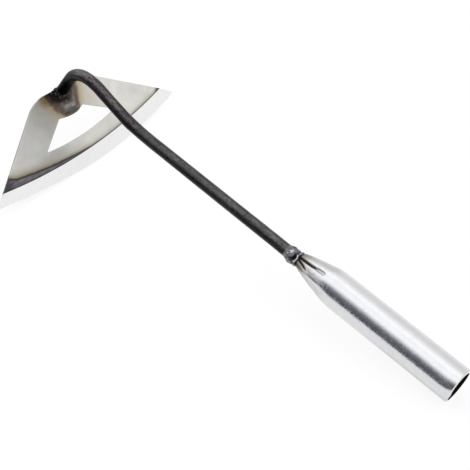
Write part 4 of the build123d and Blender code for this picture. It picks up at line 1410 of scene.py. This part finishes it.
def mat_weld(name, dark, use_soot=False):
    m = Mat(name)
    oc = m.object_co()
    a = m.tex(oc, 520.0, 4, 0.6, 0.3)
    b = m.tex(oc, 1900.0, 3, 0.6)
    if dark:
        stops = [(0.30, (0.006, 0.007, 0.0068)), (0.50, (0.015, 0.016, 0.0155)), (0.60, (0.045, 0.046, 0.045)), (0.70, (0.22, 0.22, 0.215))]
    else:
        stops = [(0.30, (0.045, 0.046, 0.055)), (0.46, (0.115, 0.12, 0.136)), (0.58, (0.20, 0.206, 0.222)), (0.70, (0.46, 0.46, 0.47))]
    col = m.ramp(a, stops)
    if dark:                                   # painted highlights: light streaks across a few ripples on the near side of the neck bead
        d_, (p_, q_, n_) = m.blade_axes()
        u = m.math("SUBTRACT", m.math("MULTIPLY", m.math("SUBTRACT", p_, 28.4), 0.62), m.math("MULTIPLY", m.math("ADD", q_, 4.6), 0.78))
        v = m.math("ADD", m.math("MULTIPLY", m.math("SUBTRACT", p_, 28.4), 0.78), m.math("MULTIPLY", m.math("ADD", q_, 4.6), 0.62))
        run = m.math("MULTIPLY", m.step(1.5, 0.5, m.math("ABSOLUTE", m.math("ADD", u, m.math("MULTIPLY", m.math("SUBTRACT", b, 0.5), 1.4)))), m.math("MULTIPLY", m.step(-1.2, 0.4, v), m.step(7.6, 6.4, v)))
        ripple_glint = m.step(0.46, 0.60, m.math("ADD", m.math("MULTIPLY", m.math("SINE", m.math("MULTIPLY", v, 3.1)), 0.18), a))
        col = m.mix(m.math("MULTIPLY", m.math("MULTIPLY", run, ripple_glint), 0.8), col, (0.20, 0.20, 0.19))
    if use_soot:
        # the first attribute darkens the collar's valleys and pit as painted shade and its burnt side as real burn; the
        # second lays a near-white painted highlight on the pit's lip and two spots
        soot = m.node("ShaderNodeAttribute", attribute_type="GEOMETRY", attribute_name="soot").outputs["Fac"]
        col = m.mix(m.math("MULTIPLY", soot, 1.15, clamp=True), col, (0.010, 0.008, 0.011))
        painted_highlight = m.node("ShaderNodeAttribute", attribute_type="GEOMETRY", attribute_name="painted_highlight").outputs["Fac"]
        col = m.mix(m.math("MULTIPLY", painted_highlight, 0.9, clamp=True), col, (0.80, 0.80, 0.80))
    m.link(col, m.bsdf.inputs["Base Color"])
    m.bsdf.inputs["Metallic"].default_value = 0.95
    m.link(m.math("ADD", m.lerp(a, 0.3, 0.7, 0.36, 0.22), m.math("MULTIPLY", m.math("SUBTRACT", b, 0.5), 0.2)), m.bsdf.inputs["Roughness"])
    m.link(m.bump(m.math("ADD", a, m.math("MULTIPLY", b, 0.3)), 0.0002, 0.6), m.bsdf.inputs["Normal"])
    return m.m


steel_blade, steel_rod, steel_tube, bore = mat_blade(), mat_rod(), mat_tube(), mat_bore()
weld_dark, weld_grey = mat_weld("weld_metal_burnt", True), mat_weld("weld_metal_grey", False, True)
steel_edge = mat_edge()

# ------------------------------------------------------------------------------------------------
# pieces
pieces = [
    (make_blade(steel_blade, steel_edge), "blade_plate", "blade_steel"),
    (make_rod(steel_rod), "neck_rod", "scaled_steel"),
    (make_tube(steel_tube, bore), "socket_handle", "bright_steel"),
    (make_collar(weld_grey), "collar_weld", "weld_metal"),
    (make_neck_weld(weld_dark), "neck_weld", "weld_metal"),
    (make_rear(weld_dark, -1, "rear_weld_bead_left"), "rear_weld_left", "weld_metal"),
    (make_rear(weld_dark, 1, "rear_weld_bead_right"), "rear_weld_right", "weld_metal"),
]
for ob, node, slot in pieces:
    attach(ob, "root")
    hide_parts(node)
    lo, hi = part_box(node)
    vs = [v.co for v in ob.data.vertices]
    mylo = [min(v[i] for v in vs) for i in range(3)]
    myhi = [max(v[i] for v in vs) for i in range(3)]
    print(ob.name, "verts", len(vs), "over CAD box mm",
          [round((lo[i] - mylo[i]) * 1000, 2) for i in range(3)], [round((myhi[i] - hi[i]) * 1000, 2) for i in range(3)])

# ------------------------------------------------------------------------------------------------
# stage: a plain pale floor
def make_floor():
    verts, faces = [(0, 0, 0)], []
    rings = [0.3, 0.8, 2.0, 5.0, 12.0]
    n = 64
    for r in rings:
        verts += [(r * cos(2 * pi * j / n), r * sin(2 * pi * j / n), 0.0) for j in range(n)]
    for j in range(n):
        faces.append((0, 1 + j, 1 + (j + 1) % n))
    for i in range(len(rings) - 1):
        for j in range(n):
            k = (j + 1) % n
            faces.append((1 + i * n + j, 1 + (i + 1) * n + j, 1 + (i + 1) * n + k, 1 + i * n + k))
    m = Mat("floor_pale")
    # bright, lit-from-behind acrylic: only a trace of shadow shows on it
    m.bsdf.inputs["Base Color"].default_value = (0.15, 0.15, 0.15, 1)
    m.bsdf.inputs["Roughness"].default_value = 0.9
    m.bsdf.inputs["Specular IOR Level"].default_value = 0.0
    m.bsdf.inputs["Emission Color"].default_value = (1.0, 1.0, 1.0, 1)
    m.bsdf.inputs["Emission Strength"].default_value = 0.85
    ob = add("floor", verts, faces, [m.m], smooth=False)
    return ob


make_floor()

# ------------------------------------------------------------------------------------------------
# light: a smooth white tent; its near side, below the lens, is open to a dark room
world = bpy.data.worlds.new("studio")
scene.world = world
world.use_nodes = True
nt = world.node_tree
nt.nodes.clear()
w = Mat.__new__(Mat)
w.nt = nt
wo = w.node("ShaderNodeOutputWorld")
bg = w.node("ShaderNodeBackground")
w.link(bg.outputs[0], wo.inputs[0])
gen = w.node("ShaderNodeTexCoord").outputs["Generated"]
sep = w.node("ShaderNodeSeparateXYZ")
w.link(gen, sep.inputs[0])
wx, wy, wz = sep.outputs[0], sep.outputs[1], sep.outputs[2]
flat = w.math("SQRT", w.math("ADD", w.math("MULTIPLY", wx, wx), w.math("MULTIPLY", wy, wy)))
near_side = w.math("DIVIDE", w.math("MULTIPLY", wy, -1.0), w.math("MAXIMUM", flat, 0.001))
roll = w.math("MULTIPLY", w.math("ARCTAN2", wy, wz), 180.0 / pi)       # from overhead, + away from the camera


def tent(stops):
    return w.ramp(w.lerp(roll, -100.0, 110.0, 0.0, 1.0), [((a + 100.0) / 210.0, (v * r / 2, v * g / 2, v * b / 2)) for a, v, (r, g, b) in stops])


WHITE, COOL = (1.0, 1.0, 1.0), (0.97, 0.99, 1.04)
far_half = [(-12, 1.34, WHITE), (3, 1.26, WHITE), (14, 1.42, WHITE), (25, 1.38, WHITE), (32, 1.25, WHITE), (39, 1.13, WHITE), (46, 1.04, WHITE),
            (53, 0.97, WHITE), (61, 0.92, WHITE), (80, 0.90, WHITE), (92, 0.97, WHITE), (102, 1.0, WHITE)]
light_side = tent([(-96, 1.0, WHITE), (-60, 1.02, WHITE), (-40, 1.12, WHITE), (-24, 1.28, WHITE)] + far_half)
open_side = tent([(-96, 0.90, WHITE), (-90, 0.12, (0.92, 0.98, 1.14)), (-66, 0.12, (0.92, 0.98, 1.14)), (-60, 0.15, (0.95, 0.99, 1.10)), (-49, 0.23, (0.96, 1.0, 1.06)),
                  (-43, 0.42, COOL), (-38, 0.66, COOL), (-32, 0.93, COOL), (-27, 1.17, COOL), (-21, 1.36, WHITE)] + far_half)
room = w.mix(w.step(0.70, 0.84, near_side), light_side, open_side)
w.link(room, bg.inputs[0])
bg.inputs[1].default_value = 2.0


def softbox(name, loc, target, sx, sy, watts):
    ld = bpy.data.lights.new(name, "AREA")
    ld.shape = "RECTANGLE"
    ld.size, ld.size_y = sx, sy
    ld.energy = watts
    ob = bpy.data.objects.new(name, ld)
    coll.objects.link(ob)
    ob.location = loc
    d = Vector(target) - Vector(loc)
    ob.rotation_mode = "QUATERNION"
    ob.rotation_quaternion = d.to_track_quat("-Z", "Y")
    ob.visible_glossy = False
    return ob


softbox("softbox_top", (0.0, 0.25, 1.4), (0.0, 0.0, 0.0), 1.6, 1.2, 1.5)

# ------------------------------------------------------------------------------------------------
# camera
C = T(55.7045, -289.4914, 457.8205)
right = EX * 0.725138 + EY * 0.683379 + EZ * 0.084668
down = EX * 0.587097 - EY * 0.549301 - EZ * 0.594630
fwd = -EX * 0.359849 + EY * 0.480897 - EZ * 0.799529
cd = bpy.data.cameras.new("camera")
cd.lens = 986.54 / 470 * 36.0
cd.sensor_width = 36.0
cd.clip_start, cd.clip_end = 0.01, 60.0
cam = bpy.data.objects.new("camera", cd)
coll.objects.link(cam)
mw = Matrix.Identity(4)
for i in range(3):
    mw[i][0], mw[i][1], mw[i][2], mw[i][3] = right[i], -down[i], -fwd[i], C[i]
cam.matrix_world = mw
scene.camera = cam
scene.view_settings.view_transform = "Standard"
scene.view_settings.look = "None"
scene.view_settings.exposure = 0.0
scene.view_settings.gamma = 1.0

bpy.context.view_layer.update()
